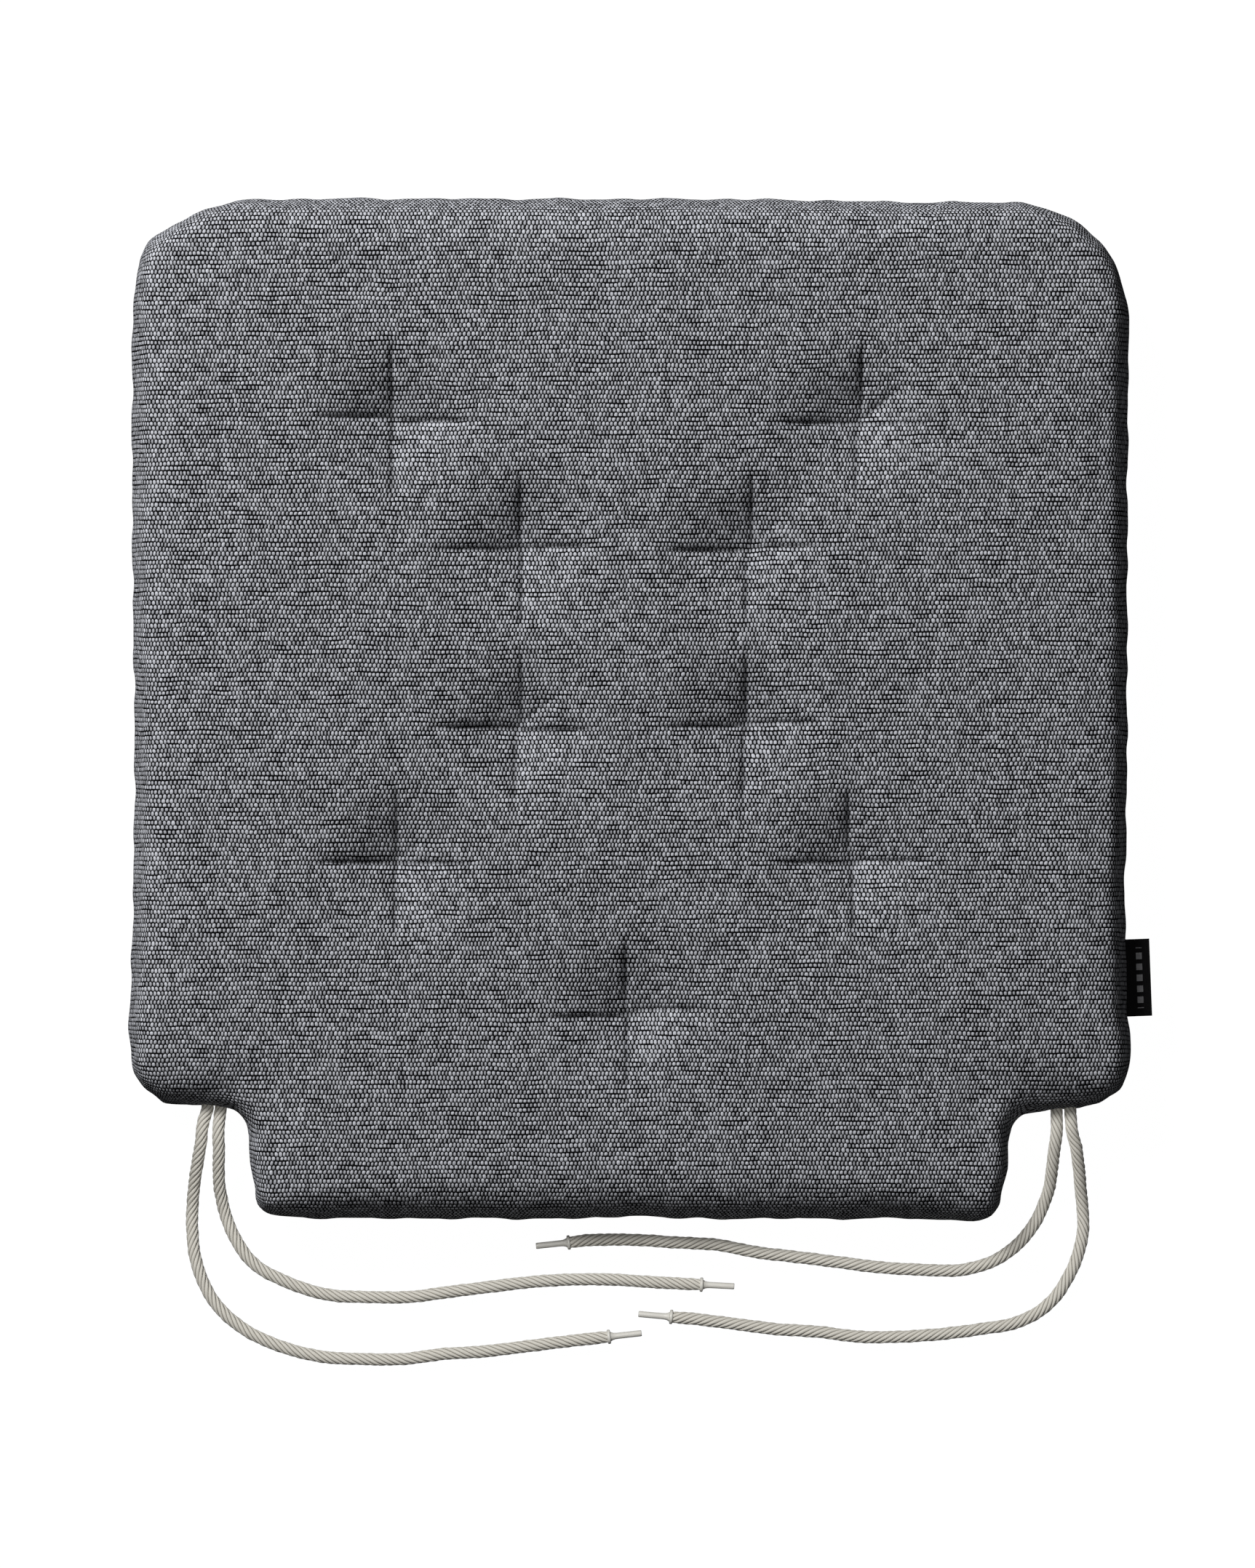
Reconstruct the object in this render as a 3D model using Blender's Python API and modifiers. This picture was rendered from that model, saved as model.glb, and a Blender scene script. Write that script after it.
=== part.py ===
"""Tufted chair seat pad with four tie cords.

Metres, +Z up. The underside lies at Z = 0, the front edge faces +Y, and the tongue that goes
between the chair's back posts faces -Y. X = Y = 0 is the middle of the pad's outline.
The pad is two fabric panels sewn round their edge, a filling, nine tufts of thread that tie the
panels together, four cords caught in the seam at the two back notches, and a folded side label.
"""
import math

import bmesh
import bpy
from mathutils import Matrix, Vector

# Outline of the sewn pad, at the seam
PAD_WIDTH = 0.400
PAD_DEPTH = 0.410
TONGUE_DEPTH = 0.045
TONGUE_ROOT_WIDTH = 0.306
TONGUE_END_WIDTH = 0.298
FRONT_RADIUS = 0.047
BACK_RADIUS = 0.020
NOTCH_RADIUS = 0.012
TONGUE_RADIUS = 0.009

# Heights and the way the panels curve in to the seam
PAD_HEIGHT = 0.036
SEAM_HEIGHT = 0.0165
EDGE_INSET = 0.0078
EDGE_STEPS = 3
ARC_STEP = math.radians(20)

# Fabric, the gap kept between neighbours, and how close points are the same point
FABRIC = 0.001
GAP = 0.0003
SAME_POINT = 1e-6

# Tufts: places on the pad, the hollows they pull, and the thread loops
TUFTS = (
    (-0.093, 0.116),
    (0.093, 0.116),
    (-0.046, 0.065),
    (0.047, 0.065),
    (-0.045, -0.007),
    (0.045, -0.007),
    (-0.094, -0.061),
    (0.090, -0.061),
    (0.000, -0.122),
)
TOP_HOLLOW_DEPTH = 0.009
TOP_HOLLOW_RADIUS = 0.021
BOTTOM_HOLLOW_DEPTH = 0.004
BOTTOM_HOLLOW_RADIUS = 0.014
HOLLOW_SIDES = 8
HOLLOW_RINGS = 10
TUFT_THREAD_RADIUS = 0.0005
TUFT_SPAN = 0.005
TUFT_LIFT = 0.0005

# Tie cords, side by side in pairs, and how they fall from the seam
CORD_RADIUS = 0.0025
CORD_CLEARANCE = 0.0001
CORD_FALL_START = 0.007
CORD_FALL_END = 0.046
CORD_LIFT_LENGTH = 0.025
CORD_POINT_SPACING = 0.0115
PAIR_SPACING = 2 * CORD_RADIUS + GAP
LEFT_PAIR_FROM_SIDE = 0.0333
RIGHT_PAIR_FROM_SIDE = 0.0260
LEFT_PAIR_X = -PAD_WIDTH / 2 + LEFT_PAIR_FROM_SIDE
RIGHT_PAIR_X = PAD_WIDTH / 2 - RIGHT_PAIR_FROM_SIDE
STEP_Y = -PAD_DEPTH / 2 + TONGUE_DEPTH

# Turned tips on the cords' ends
TIP_FLANGE_PROUD = 0.0004
TIP_FLANGE_RADIUS = CORD_RADIUS + TIP_FLANGE_PROUD
TIP_FLANGE_LENGTH = 0.0013
TIP_CONE_RADIUS = 0.0019
TIP_CONE_LENGTH = 0.0016
TIP_PIN_RADIUS = 0.00125
TIP_LENGTH = 0.0139

# Behind the seam, from the outside in: the bar tack, the cord's tail, the seam thread, the cut edge
TACK_START = 2 * FABRIC
TACK_WIDTH = 0.0020
TACK_THICKNESS = 0.0008
TAIL_PAST_TACK = 0.0001
CORD_TAIL = TACK_START + TACK_WIDTH + TAIL_PAST_TACK
SEAM_THREAD_RADIUS = 0.0004
SEAM_THREAD_PAST_TAIL = 0.0007
SEAM_THREAD_INSET = CORD_TAIL + SEAM_THREAD_PAST_TAIL + SEAM_THREAD_RADIUS
CUT_EDGE_PAST_THREAD = 0.0008
SEAM_ALLOWANCE = SEAM_THREAD_INSET + CUT_EDGE_PAST_THREAD
ALLOWANCE_SPREAD = 0.0009

# Side label, a ribbon folded in two with its tails in the seam
LABEL_FROM_STEP = 0.0522
LABEL_WIDTH = 0.031
LABEL_REACH = 0.0095
LABEL_TAIL = CORD_TAIL
LABEL_FOLD_GAP = 0.0002
RIBBON = 0.0004
LABEL_Y = STEP_Y + LABEL_FROM_STEP

# Each cord's route over the surface, measured from the place where it leaves the seam
CORDS = (
    (
        "left_outer",
        LEFT_PAIR_X - PAIR_SPACING / 2,
        (
            (-0.002, -0.007),
            (-0.003, -0.015),
            (-0.006, -0.032),
            (-0.007, -0.048),
            (-0.005, -0.064),
            (0.002, -0.079),
            (0.014, -0.090),
            (0.029, -0.097),
            (0.045, -0.101),
            (0.061, -0.102),
            (0.078, -0.102),
            (0.094, -0.100),
            (0.110, -0.099),
            (0.127, -0.097),
            (0.143, -0.095),
            (0.161, -0.093),
        ),
    ),
    (
        "left_inner",
        LEFT_PAIR_X + PAIR_SPACING / 2,
        (
            (-0.001, -0.008),
            (-0.001, -0.017),
            (-0.001, -0.033),
            (0.003, -0.049),
            (0.012, -0.063),
            (0.026, -0.071),
            (0.042, -0.076),
            (0.058, -0.077),
            (0.075, -0.077),
            (0.091, -0.075),
            (0.107, -0.073),
            (0.124, -0.071),
            (0.140, -0.070),
            (0.157, -0.070),
            (0.173, -0.071),
            (0.193, -0.072),
        ),
    ),
    (
        "right_inner",
        RIGHT_PAIR_X - PAIR_SPACING / 2,
        (
            (0.000, -0.010),
            (-0.001, -0.019),
            (-0.003, -0.035),
            (-0.010, -0.050),
            (-0.022, -0.061),
            (-0.037, -0.066),
            (-0.054, -0.066),
            (-0.071, -0.065),
            (-0.087, -0.063),
            (-0.103, -0.061),
            (-0.120, -0.059),
            (-0.136, -0.056),
            (-0.153, -0.055),
            (-0.169, -0.054),
            (-0.186, -0.054),
            (-0.196, -0.055),
        ),
    ),
    (
        "right_outer",
        RIGHT_PAIR_X + PAIR_SPACING / 2,
        (
            (0.001, -0.010),
            (0.003, -0.018),
            (0.005, -0.034),
            (0.006, -0.050),
            (0.002, -0.065),
            (-0.007, -0.079),
            (-0.020, -0.087),
            (-0.036, -0.090),
            (-0.052, -0.092),
            (-0.068, -0.093),
            (-0.084, -0.093),
            (-0.101, -0.091),
            (-0.117, -0.090),
            (-0.133, -0.088),
            (-0.149, -0.086),
            (-0.160, -0.085),
        ),
    ),
)


def fresh_collections(object_name):
    for old in list(bpy.data.objects):
        bpy.data.objects.remove(old, do_unlink=True)
    made = []
    for name in (object_name, object_name + "_cutters"):
        collection = bpy.data.collections.new(name)
        bpy.context.scene.collection.children.link(collection)
        made.append(collection)
    return made


PARTS, CUTTERS = fresh_collections("chair_seat_pad")


def material(name, colour, roughness):
    made = bpy.data.materials.new(name)
    made.use_nodes = True
    shader = made.node_tree.nodes["Principled BSDF"]
    shader.inputs["Base Color"].default_value = (*colour, 1.0)
    shader.inputs["Roughness"].default_value = roughness
    shader.inputs["Metallic"].default_value = 0.0
    return made


def add_part(name, data, finish):
    part = bpy.data.objects.new(name, data)
    data.materials.clear()
    data.materials.append(finish)
    PARTS.objects.link(part)
    return part


def add_cutter(name, data):
    cutter = bpy.data.objects.new(name, data)
    cutter.hide_render = True
    cutter.display_type = "WIRE"
    CUTTERS.objects.link(cutter)
    return cutter


def cut(part, cutter):
    step = part.modifiers.new("cut by " + cutter.name, "BOOLEAN")
    step.operation = "DIFFERENCE"
    step.solver = "EXACT"
    step.object = cutter
    return step


def mesh_of(source):
    """The evaluated mesh of an object, in world space, which then takes the object's place."""
    bpy.context.view_layer.update()
    depsgraph = bpy.context.evaluated_depsgraph_get()
    mesh = bpy.data.meshes.new_from_object(source.evaluated_get(depsgraph))
    mesh.transform(source.matrix_world)
    bpy.data.objects.remove(source, do_unlink=True)
    shape = bmesh.new()
    shape.from_mesh(mesh)
    bmesh.ops.remove_doubles(shape, verts=shape.verts, dist=SAME_POINT)
    bmesh.ops.recalc_face_normals(shape, faces=shape.faces)
    shape.to_mesh(mesh)
    shape.free()
    return mesh


def arc(centre, radius, start, end):
    count = max(2, math.ceil(abs(end - start) / ARC_STEP))
    points = []
    for i in range(count + 1):
        angle = start + (end - start) * i / count
        points.append((centre[0] + radius * math.cos(angle), centre[1] + radius * math.sin(angle)))
    return points


def right_outline(inset):
    """Right half of the pad's outline, pulled in by inset, from the front round to the tongue."""
    side = PAD_WIDTH / 2 - inset
    front = PAD_DEPTH / 2 - inset
    step = STEP_Y + inset
    back = -PAD_DEPTH / 2 + inset
    taper = math.atan2((TONGUE_ROOT_WIDTH - TONGUE_END_WIDTH) / 2, TONGUE_DEPTH)
    root = TONGUE_ROOT_WIDTH / 2 - inset / math.cos(taper)
    slope = math.tan(taper)
    front_radius = FRONT_RADIUS - inset
    back_radius = BACK_RADIUS - inset
    notch_radius = NOTCH_RADIUS + inset
    tongue_radius = TONGUE_RADIUS - inset

    def tongue_side(y):
        return root - slope * (STEP_Y - y)

    quarter = math.pi / 2
    points = arc((side - front_radius, front - front_radius), front_radius, quarter, 0)
    points += arc((side - back_radius, step + back_radius), back_radius, 0, -quarter)
    notch_y = step - notch_radius
    notch_x = tongue_side(notch_y) + notch_radius / math.cos(taper)
    points += arc((notch_x, notch_y), notch_radius, quarter, 2 * quarter - taper)
    tongue_y = back + tongue_radius
    tongue_x = tongue_side(tongue_y) - tongue_radius / math.cos(taper)
    points += arc((tongue_x, tongue_y), tongue_radius, -taper, -quarter)
    return points


def outline(inset):
    right = right_outline(inset)
    return right + [(-x, y) for x, y in reversed(right)]


def stadium(centre, half_width, half_height):
    """A slot shape with round ends, where half_width reaches to the ends' centres."""
    right = arc((centre[0] + half_width, centre[1]), half_height, -math.pi / 2, math.pi / 2)
    left = arc((centre[0] - half_width, centre[1]), half_height, math.pi / 2, 3 * math.pi / 2)
    return right + left


def flat_curve(name, outlines, thickness):
    """A filled 2D curve of one or more closed outlines, thickened evenly about its own plane."""
    curve = bpy.data.curves.new(name, "CURVE")
    curve.dimensions = "2D"
    curve.fill_mode = "BOTH"
    curve.extrude = thickness / 2
    for points in outlines:
        spline = curve.splines.new("POLY")
        spline.points.add(len(points) - 1)
        for point, place in zip(spline.points, points):
            point.co = (*place, 0.0, 1.0)
        spline.use_cyclic_u = True
    return curve


def tube_curve(name, points, radius, sides_step, closed):
    curve = bpy.data.curves.new(name, "CURVE")
    curve.dimensions = "3D"
    curve.bevel_depth = radius
    curve.bevel_resolution = sides_step
    curve.use_fill_caps = not closed
    spline = curve.splines.new("POLY")
    spline.points.add(len(points) - 1)
    for point, place in zip(spline.points, points):
        point.co = (*place, 1.0)
    spline.use_cyclic_u = closed
    return curve


def mesh_from(name, shape):
    mesh = bpy.data.meshes.new(name)
    shape.to_mesh(mesh)
    shape.free()
    return mesh


def crown(shape, region, inset, rise):
    """Raises a flat region into a rounded edge by small insets that follow a quarter ellipse."""
    done_inset = 0.0
    done_rise = 0.0
    for i in range(1, EDGE_STEPS + 1):
        angle = math.pi / 2 * i / EDGE_STEPS
        next_inset = inset * (1 - math.cos(angle))
        next_rise = rise * math.sin(angle)
        bmesh.ops.inset_region(
            shape,
            faces=region,
            thickness=next_inset - done_inset,
            depth=next_rise - done_rise,
            use_even_offset=True,
            use_boundary=True,
        )
        done_inset = next_inset
        done_rise = next_rise


def outline_face(inset, upward):
    """The pad's outline as one flat face of a new mesh, at the height of the seam."""
    flat = bpy.data.objects.new("flat", flat_curve("flat", [outline(inset)], 0.0))
    flat.location.z = SEAM_HEIGHT
    CUTTERS.objects.link(flat)
    shape = bmesh.new()
    shape.from_mesh(mesh_of(flat))
    bmesh.ops.dissolve_edges(shape, edges=[edge for edge in shape.edges if not edge.is_boundary])
    for face in shape.faces:
        if (face.normal.z > 0) != upward:
            face.normal_flip()
    return shape


def block(name, inset, edge_inset, bottom, top):
    """A closed pad shape whose rounded edges run out to the seam from its two flat faces."""
    upper = outline_face(inset, True)
    lower = outline_face(inset, False)
    if top > SEAM_HEIGHT:
        crown(upper, list(upper.faces), edge_inset, top - SEAM_HEIGHT)
    if bottom < SEAM_HEIGHT:
        crown(lower, list(lower.faces), edge_inset, SEAM_HEIGHT - bottom)
    mesh = bpy.data.meshes.new(name)
    lower.to_mesh(mesh)
    lower.free()
    upper.from_mesh(mesh)
    bmesh.ops.remove_doubles(upper, verts=upper.verts, dist=SAME_POINT)
    bmesh.ops.recalc_face_normals(upper, faces=upper.faces)
    upper.to_mesh(mesh)
    upper.free()
    return mesh


def ball_radius(hollow_radius, hollow_depth):
    return (hollow_radius**2 + hollow_depth**2) / (2 * hollow_depth)


def hollows_cutter(name, growth):
    """Balls that press a round hollow into the top and the underside at every tuft."""
    shape = bmesh.new()
    top_ball = ball_radius(TOP_HOLLOW_RADIUS, TOP_HOLLOW_DEPTH)
    bottom_ball = ball_radius(BOTTOM_HOLLOW_RADIUS, BOTTOM_HOLLOW_DEPTH)
    balls = (
        (top_ball, PAD_HEIGHT - TOP_HOLLOW_DEPTH + top_ball),
        (bottom_ball, BOTTOM_HOLLOW_DEPTH - bottom_ball),
    )
    for radius, height in balls:
        for x, y in TUFTS:
            made = bmesh.ops.create_uvsphere(
                shape,
                u_segments=HOLLOW_SIDES,
                v_segments=HOLLOW_RINGS,
                radius=radius + growth,
                matrix=Matrix.Rotation(math.pi / HOLLOW_SIDES, 4, "Z"),
            )
            bmesh.ops.translate(shape, verts=made["verts"], vec=(x, y, height))
    return add_cutter(name, mesh_from(name, shape))


def thread_holes_cutter():
    """Two fine holes at every tuft, for the two legs of its thread."""
    shape = bmesh.new()
    sides = 6
    radius = (TUFT_THREAD_RADIUS + GAP) / math.cos(math.pi / sides)
    for x, y in TUFTS:
        for side in (-1, 1):
            made = bmesh.ops.create_cone(
                shape,
                cap_ends=True,
                segments=sides,
                radius1=radius,
                radius2=radius,
                depth=2 * PAD_HEIGHT,
            )
            place = (x + side * TUFT_SPAN / 2, y, PAD_HEIGHT / 2)
            bmesh.ops.translate(shape, verts=made["verts"], vec=place)
    return add_cutter("thread_holes", mesh_from("thread_holes", shape))


def box_mesh(name, low, high):
    low = Vector(low)
    high = Vector(high)
    shape = bmesh.new()
    bmesh.ops.create_cube(shape, size=1.0)
    bmesh.ops.scale(shape, verts=shape.verts, vec=high - low)
    bmesh.ops.translate(shape, verts=shape.verts, vec=(low + high) / 2)
    return mesh_from(name, shape)


def slot_along_y(name, centre_x, front, back, half_height):
    """A slot with round ends that holds a cord pair, from one depth in the seam to another."""
    profile = stadium((0.0, 0.0), PAIR_SPACING / 2, half_height)
    slot = bpy.data.objects.new(name, flat_curve(name, [profile], front - back))
    slot.location = (centre_x, (front + back) / 2, SEAM_HEIGHT)
    slot.rotation_euler = (math.pi / 2, 0.0, 0.0)
    CUTTERS.objects.link(slot)
    return add_cutter(name, mesh_of(slot))


def cover_panel(name, top, finish, cutters):
    """A fabric panel: the shaped face, its rounded side and the allowance turned in at the seam."""
    side = 1 if top > SEAM_HEIGHT else -1
    edge = SEAM_HEIGHT + side * GAP / 2
    solid = block(name, 0.0, EDGE_INSET, min(top, SEAM_HEIGHT), max(top, SEAM_HEIGHT))
    blank = bpy.data.objects.new(name, solid)
    CUTTERS.objects.link(blank)
    cut(blank, cutters["hollows"])
    mesh = mesh_of(blank)
    shape = bmesh.new()
    shape.from_mesh(mesh)
    seam_face = []
    for face in shape.faces:
        if abs(face.calc_center_median().z - SEAM_HEIGHT) < SAME_POINT:
            seam_face.append(face)
    for vert in seam_face[0].verts:
        vert.co.z = edge
    bmesh.ops.inset_region(
        shape, faces=seam_face, thickness=SEAM_ALLOWANCE, depth=-ALLOWANCE_SPREAD, use_even_offset=True
    )
    bmesh.ops.delete(shape, geom=seam_face, context="FACES")
    shape.to_mesh(mesh)
    shape.free()
    panel = add_part(name, mesh, finish)
    wall = panel.modifiers.new("fabric", "SOLIDIFY")
    wall.thickness = FABRIC
    wall.offset = -1.0
    wall.use_even_offset = True
    for cutter in cutters["openings"]:
        cut(panel, cutter)
    return panel


def filling(finish, cutters):
    """The filling: the pad's shape inside the fabric, with a groove for the seam allowances."""
    inside = FABRIC + GAP
    blank = block("filling", inside, EDGE_INSET - FABRIC, inside, PAD_HEIGHT - inside)
    core = add_part("filling_core", blank, finish)
    cut(core, hollows_cutter("filling_hollows", inside))
    reach = SEAM_ALLOWANCE + 2 * GAP
    half = GAP / 2 + ALLOWANCE_SPREAD + FABRIC + GAP
    ring = flat_curve("seam_groove", [outline(-FABRIC), outline(reach)], 2 * half)
    groove = bpy.data.objects.new("seam_groove", ring)
    groove.location.z = SEAM_HEIGHT
    CUTTERS.objects.link(groove)
    cut(core, add_cutter("seam_groove", mesh_of(groove)))
    for cutter in cutters["openings"]:
        cut(core, cutter)
    return core


def seam_thread(finish):
    """The row of thread that closes the cover, between the two seam allowances."""
    places = [(x, y, SEAM_HEIGHT) for x, y in outline(SEAM_THREAD_INSET)]
    curve = tube_curve("seam_thread", places, SEAM_THREAD_RADIUS, 1, True)
    return add_part("seam_thread", curve, finish)


def tuft_thread(name, x, y, finish):
    """One tuft: a loop of thread through both panels, with a short bar on each face."""
    top = PAD_HEIGHT - TOP_HOLLOW_DEPTH + TUFT_LIFT + TUFT_THREAD_RADIUS
    bottom = BOTTOM_HOLLOW_DEPTH - TUFT_LIFT - TUFT_THREAD_RADIUS
    turn = 2 * TUFT_THREAD_RADIUS
    half = TUFT_SPAN / 2
    corners = (
        (half - turn, top - turn, 0.0),
        (-half + turn, top - turn, math.pi / 2),
        (-half + turn, bottom + turn, math.pi),
        (half - turn, bottom + turn, 3 * math.pi / 2),
    )
    places = []
    for across, height, start in corners:
        for i in range(3):
            angle = start + math.pi / 4 * i
            places.append((x + across + turn * math.cos(angle), y, height + turn * math.sin(angle)))
    return add_part(name, tube_curve(name, places, TUFT_THREAD_RADIUS, 1, True), finish)


def smooth_path(route, spacing):
    """Points at an even spacing along the smooth curve through a cord's own route points."""
    points = [Vector(place) for place in route]
    ends = [2 * points[0] - points[1]] + points + [2 * points[-1] - points[-2]]
    fine = []
    for a, b, c, d in zip(ends, ends[1:], ends[2:], ends[3:]):
        for i in range(20):
            t = i / 20
            place = 0.5 * (
                2 * b + (c - a) * t + (2 * a - 5 * b + 4 * c - d) * t**2 + (3 * b - a - 3 * c + d) * t**3
            )
            fine.append(place)
    fine.append(points[-1])
    travelled = [0.0]
    for before, after in zip(fine, fine[1:]):
        travelled.append(travelled[-1] + (after - before).length)
    count = round(travelled[-1] / spacing)
    path = []
    k = 0
    for i in range(count + 1):
        target = travelled[-1] * i / count
        while k < len(fine) - 2 and travelled[k + 1] < target:
            k += 1
        share = (target - travelled[k]) / (travelled[k + 1] - travelled[k])
        path.append(fine[k].lerp(fine[k + 1], min(max(share, 0.0), 1.0)))
    return path


def eased(share):
    share = min(max(share, 0.0), 1.0)
    return share * share * (3 - 2 * share)


def cord_path(exit_x, offsets):
    """A cord's course: out of the seam, down to the surface that the pad lies on, and along it."""
    exit_place = Vector((exit_x, STEP_Y, SEAM_HEIGHT))
    route = [exit_place] + [exit_place + Vector((across, along, 0.0)) for across, along in offsets]
    path = smooth_path(route, CORD_POINT_SPACING)
    resting = CORD_RADIUS + CORD_CLEARANCE
    at_tip = TIP_FLANGE_RADIUS + CORD_CLEARANCE
    for i, place in enumerate(path):
        travelled = i * CORD_POINT_SPACING
        left = (len(path) - 1 - i) * CORD_POINT_SPACING
        fallen = eased((travelled - CORD_FALL_START) / (CORD_FALL_END - CORD_FALL_START))
        lifted = 1 - eased(left / CORD_LIFT_LENGTH)
        place.z = SEAM_HEIGHT + (resting - SEAM_HEIGHT) * fallen + (at_tip - resting) * lifted
    tail = exit_place + Vector((0.0, CORD_TAIL, 0.0))
    return [tail] + path


def cord(name, exit_x, offsets, finish):
    """A tie cord. Gives back its end and its heading there, for its tip."""
    path = cord_path(exit_x, offsets)
    add_part("cord_" + name, tube_curve(name, path, CORD_RADIUS, 2, False), finish)
    heading = path[-1] - path[-2]
    heading.z = 0.0
    return path[-1], heading.normalized()


def cord_tip(name, end, heading, finish):
    """The tip on a cord's end: a thin collar, a short cone and a straight pin."""
    half_edge = TIP_FLANGE_LENGTH / 4
    cone_end = TIP_FLANGE_LENGTH + TIP_CONE_LENGTH
    profile = (
        (0.0, TIP_LENGTH),
        (TIP_PIN_RADIUS - half_edge, TIP_LENGTH),
        (TIP_PIN_RADIUS, TIP_LENGTH - half_edge),
        (TIP_PIN_RADIUS, cone_end),
        (TIP_CONE_RADIUS, TIP_FLANGE_LENGTH),
        (TIP_FLANGE_RADIUS - half_edge, TIP_FLANGE_LENGTH),
        (TIP_FLANGE_RADIUS, TIP_FLANGE_LENGTH - half_edge),
        (TIP_FLANGE_RADIUS, half_edge),
        (TIP_FLANGE_RADIUS - half_edge, 0.0),
        (0.0, 0.0),
    )
    shape = bmesh.new()
    line = [shape.verts.new((radius, 0.0, height)) for radius, height in profile]
    for before, after in zip(line, line[1:]):
        shape.edges.new((before, after))
    tip = add_part("cord_tip_" + name, mesh_from(name, shape), finish)
    tip.location = end + heading * GAP
    tip.rotation_mode = "QUATERNION"
    tip.rotation_quaternion = heading.to_track_quat("Z", "Y")
    turn = tip.modifiers.new("turned", "SCREW")
    turn.steps = 12
    turn.render_steps = 12
    turn.use_merge_vertices = True
    turn.merge_threshold = SAME_POINT
    turn.use_smooth_shade = True
    return tip


def bar_tack(name, centre_x, finish):
    """The dense band of stitches round a cord pair, just inside the cover."""
    inner = stadium((0.0, 0.0), PAIR_SPACING / 2, CORD_RADIUS + GAP)
    outer = stadium((0.0, 0.0), PAIR_SPACING / 2, CORD_RADIUS + GAP + TACK_THICKNESS)
    band = bpy.data.objects.new(name, flat_curve(name, [inner, outer], TACK_WIDTH))
    band.location = (centre_x, STEP_Y + TACK_START + TACK_WIDTH / 2, SEAM_HEIGHT)
    band.rotation_euler = (math.pi / 2, 0.0, 0.0)
    CUTTERS.objects.link(band)
    return add_part("bar_tack_" + name, mesh_of(band), finish)


def side_label(finish):
    """A ribbon folded in two: its fold stands out of the seam, and its tails are sewn in it."""
    half = RIBBON + LABEL_FOLD_GAP / 2
    inner = LABEL_FOLD_GAP / 2
    tail = -LABEL_TAIL
    bend = LABEL_REACH - half
    profile = [(tail, -half)]
    profile += arc((bend, 0.0), half, -math.pi / 2, math.pi / 2)
    profile += [(tail, half), (tail, inner)]
    profile += arc((bend, 0.0), inner, math.pi / 2, -math.pi / 2)
    profile += [(tail, -inner)]
    ribbon = bpy.data.objects.new("ribbon", flat_curve("ribbon", [profile], LABEL_WIDTH))
    ribbon.location = (PAD_WIDTH / 2, LABEL_Y, SEAM_HEIGHT)
    ribbon.rotation_euler = (math.pi / 2, 0.0, 0.0)
    CUTTERS.objects.link(ribbon)
    return add_part("side_label", mesh_of(ribbon), finish)


def label_slot():
    """The slot that the label's tails take between the panels."""
    half = RIBBON + LABEL_FOLD_GAP / 2 + GAP
    low = (PAD_WIDTH / 2 - LABEL_TAIL - GAP, LABEL_Y - LABEL_WIDTH / 2 - GAP, SEAM_HEIGHT - half)
    high = (PAD_WIDTH / 2 + FABRIC, LABEL_Y + LABEL_WIDTH / 2 + GAP, SEAM_HEIGHT + half)
    return add_cutter("label_slot", box_mesh("label_slot", low, high))


def cord_opening(name, centre_x):
    """The mouth that a cord pair takes in the seam, and the wider pocket for its bar tack."""
    mouth = slot_along_y(
        "mouth_" + name, centre_x, STEP_Y + TACK_START, STEP_Y - 3 * FABRIC, CORD_RADIUS + GAP
    )
    pocket = slot_along_y(
        "pocket_" + name,
        centre_x,
        STEP_Y + CORD_TAIL + GAP,
        STEP_Y + TACK_START - GAP,
        CORD_RADIUS + TACK_THICKNESS + 2 * GAP,
    )
    joined = mouth.modifiers.new("with its pocket", "BOOLEAN")
    joined.operation = "UNION"
    joined.solver = "EXACT"
    joined.object = pocket
    return mouth


def build():
    cover_cloth = material("cover_cloth", (0.105, 0.105, 0.115), 0.95)
    foam = material("filling", (0.75, 0.72, 0.62), 0.9)
    dark_thread = material("dark_thread", (0.04, 0.04, 0.045), 0.7)
    cord_cotton = material("cord_cotton", (0.66, 0.63, 0.55), 0.85)
    tip_plastic = material("tip_plastic", (0.72, 0.69, 0.60), 0.35)
    label_ribbon = material("label_ribbon", (0.015, 0.015, 0.018), 0.75)

    openings = [
        thread_holes_cutter(),
        label_slot(),
        cord_opening("left", LEFT_PAIR_X),
        cord_opening("right", RIGHT_PAIR_X),
    ]
    cutters = {"hollows": hollows_cutter("hollows", 0.0), "openings": openings}

    cover_panel("top_panel", PAD_HEIGHT, cover_cloth, cutters)
    cover_panel("bottom_panel", 0.0, cover_cloth, cutters)
    filling(foam, cutters)
    seam_thread(dark_thread)
    for number, (x, y) in enumerate(TUFTS, start=1):
        tuft_thread(f"tuft_thread_{number}", x, y, dark_thread)
    bar_tack("left", LEFT_PAIR_X, dark_thread)
    bar_tack("right", RIGHT_PAIR_X, dark_thread)
    for name, exit_x, offsets in CORDS:
        end, heading = cord(name, exit_x, offsets, cord_cotton)
        cord_tip(name, end, heading, tip_plastic)
    side_label(label_ribbon)


build()
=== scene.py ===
import math

import bmesh
import bpy
import numpy as np
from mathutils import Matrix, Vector, kdtree, noise


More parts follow.
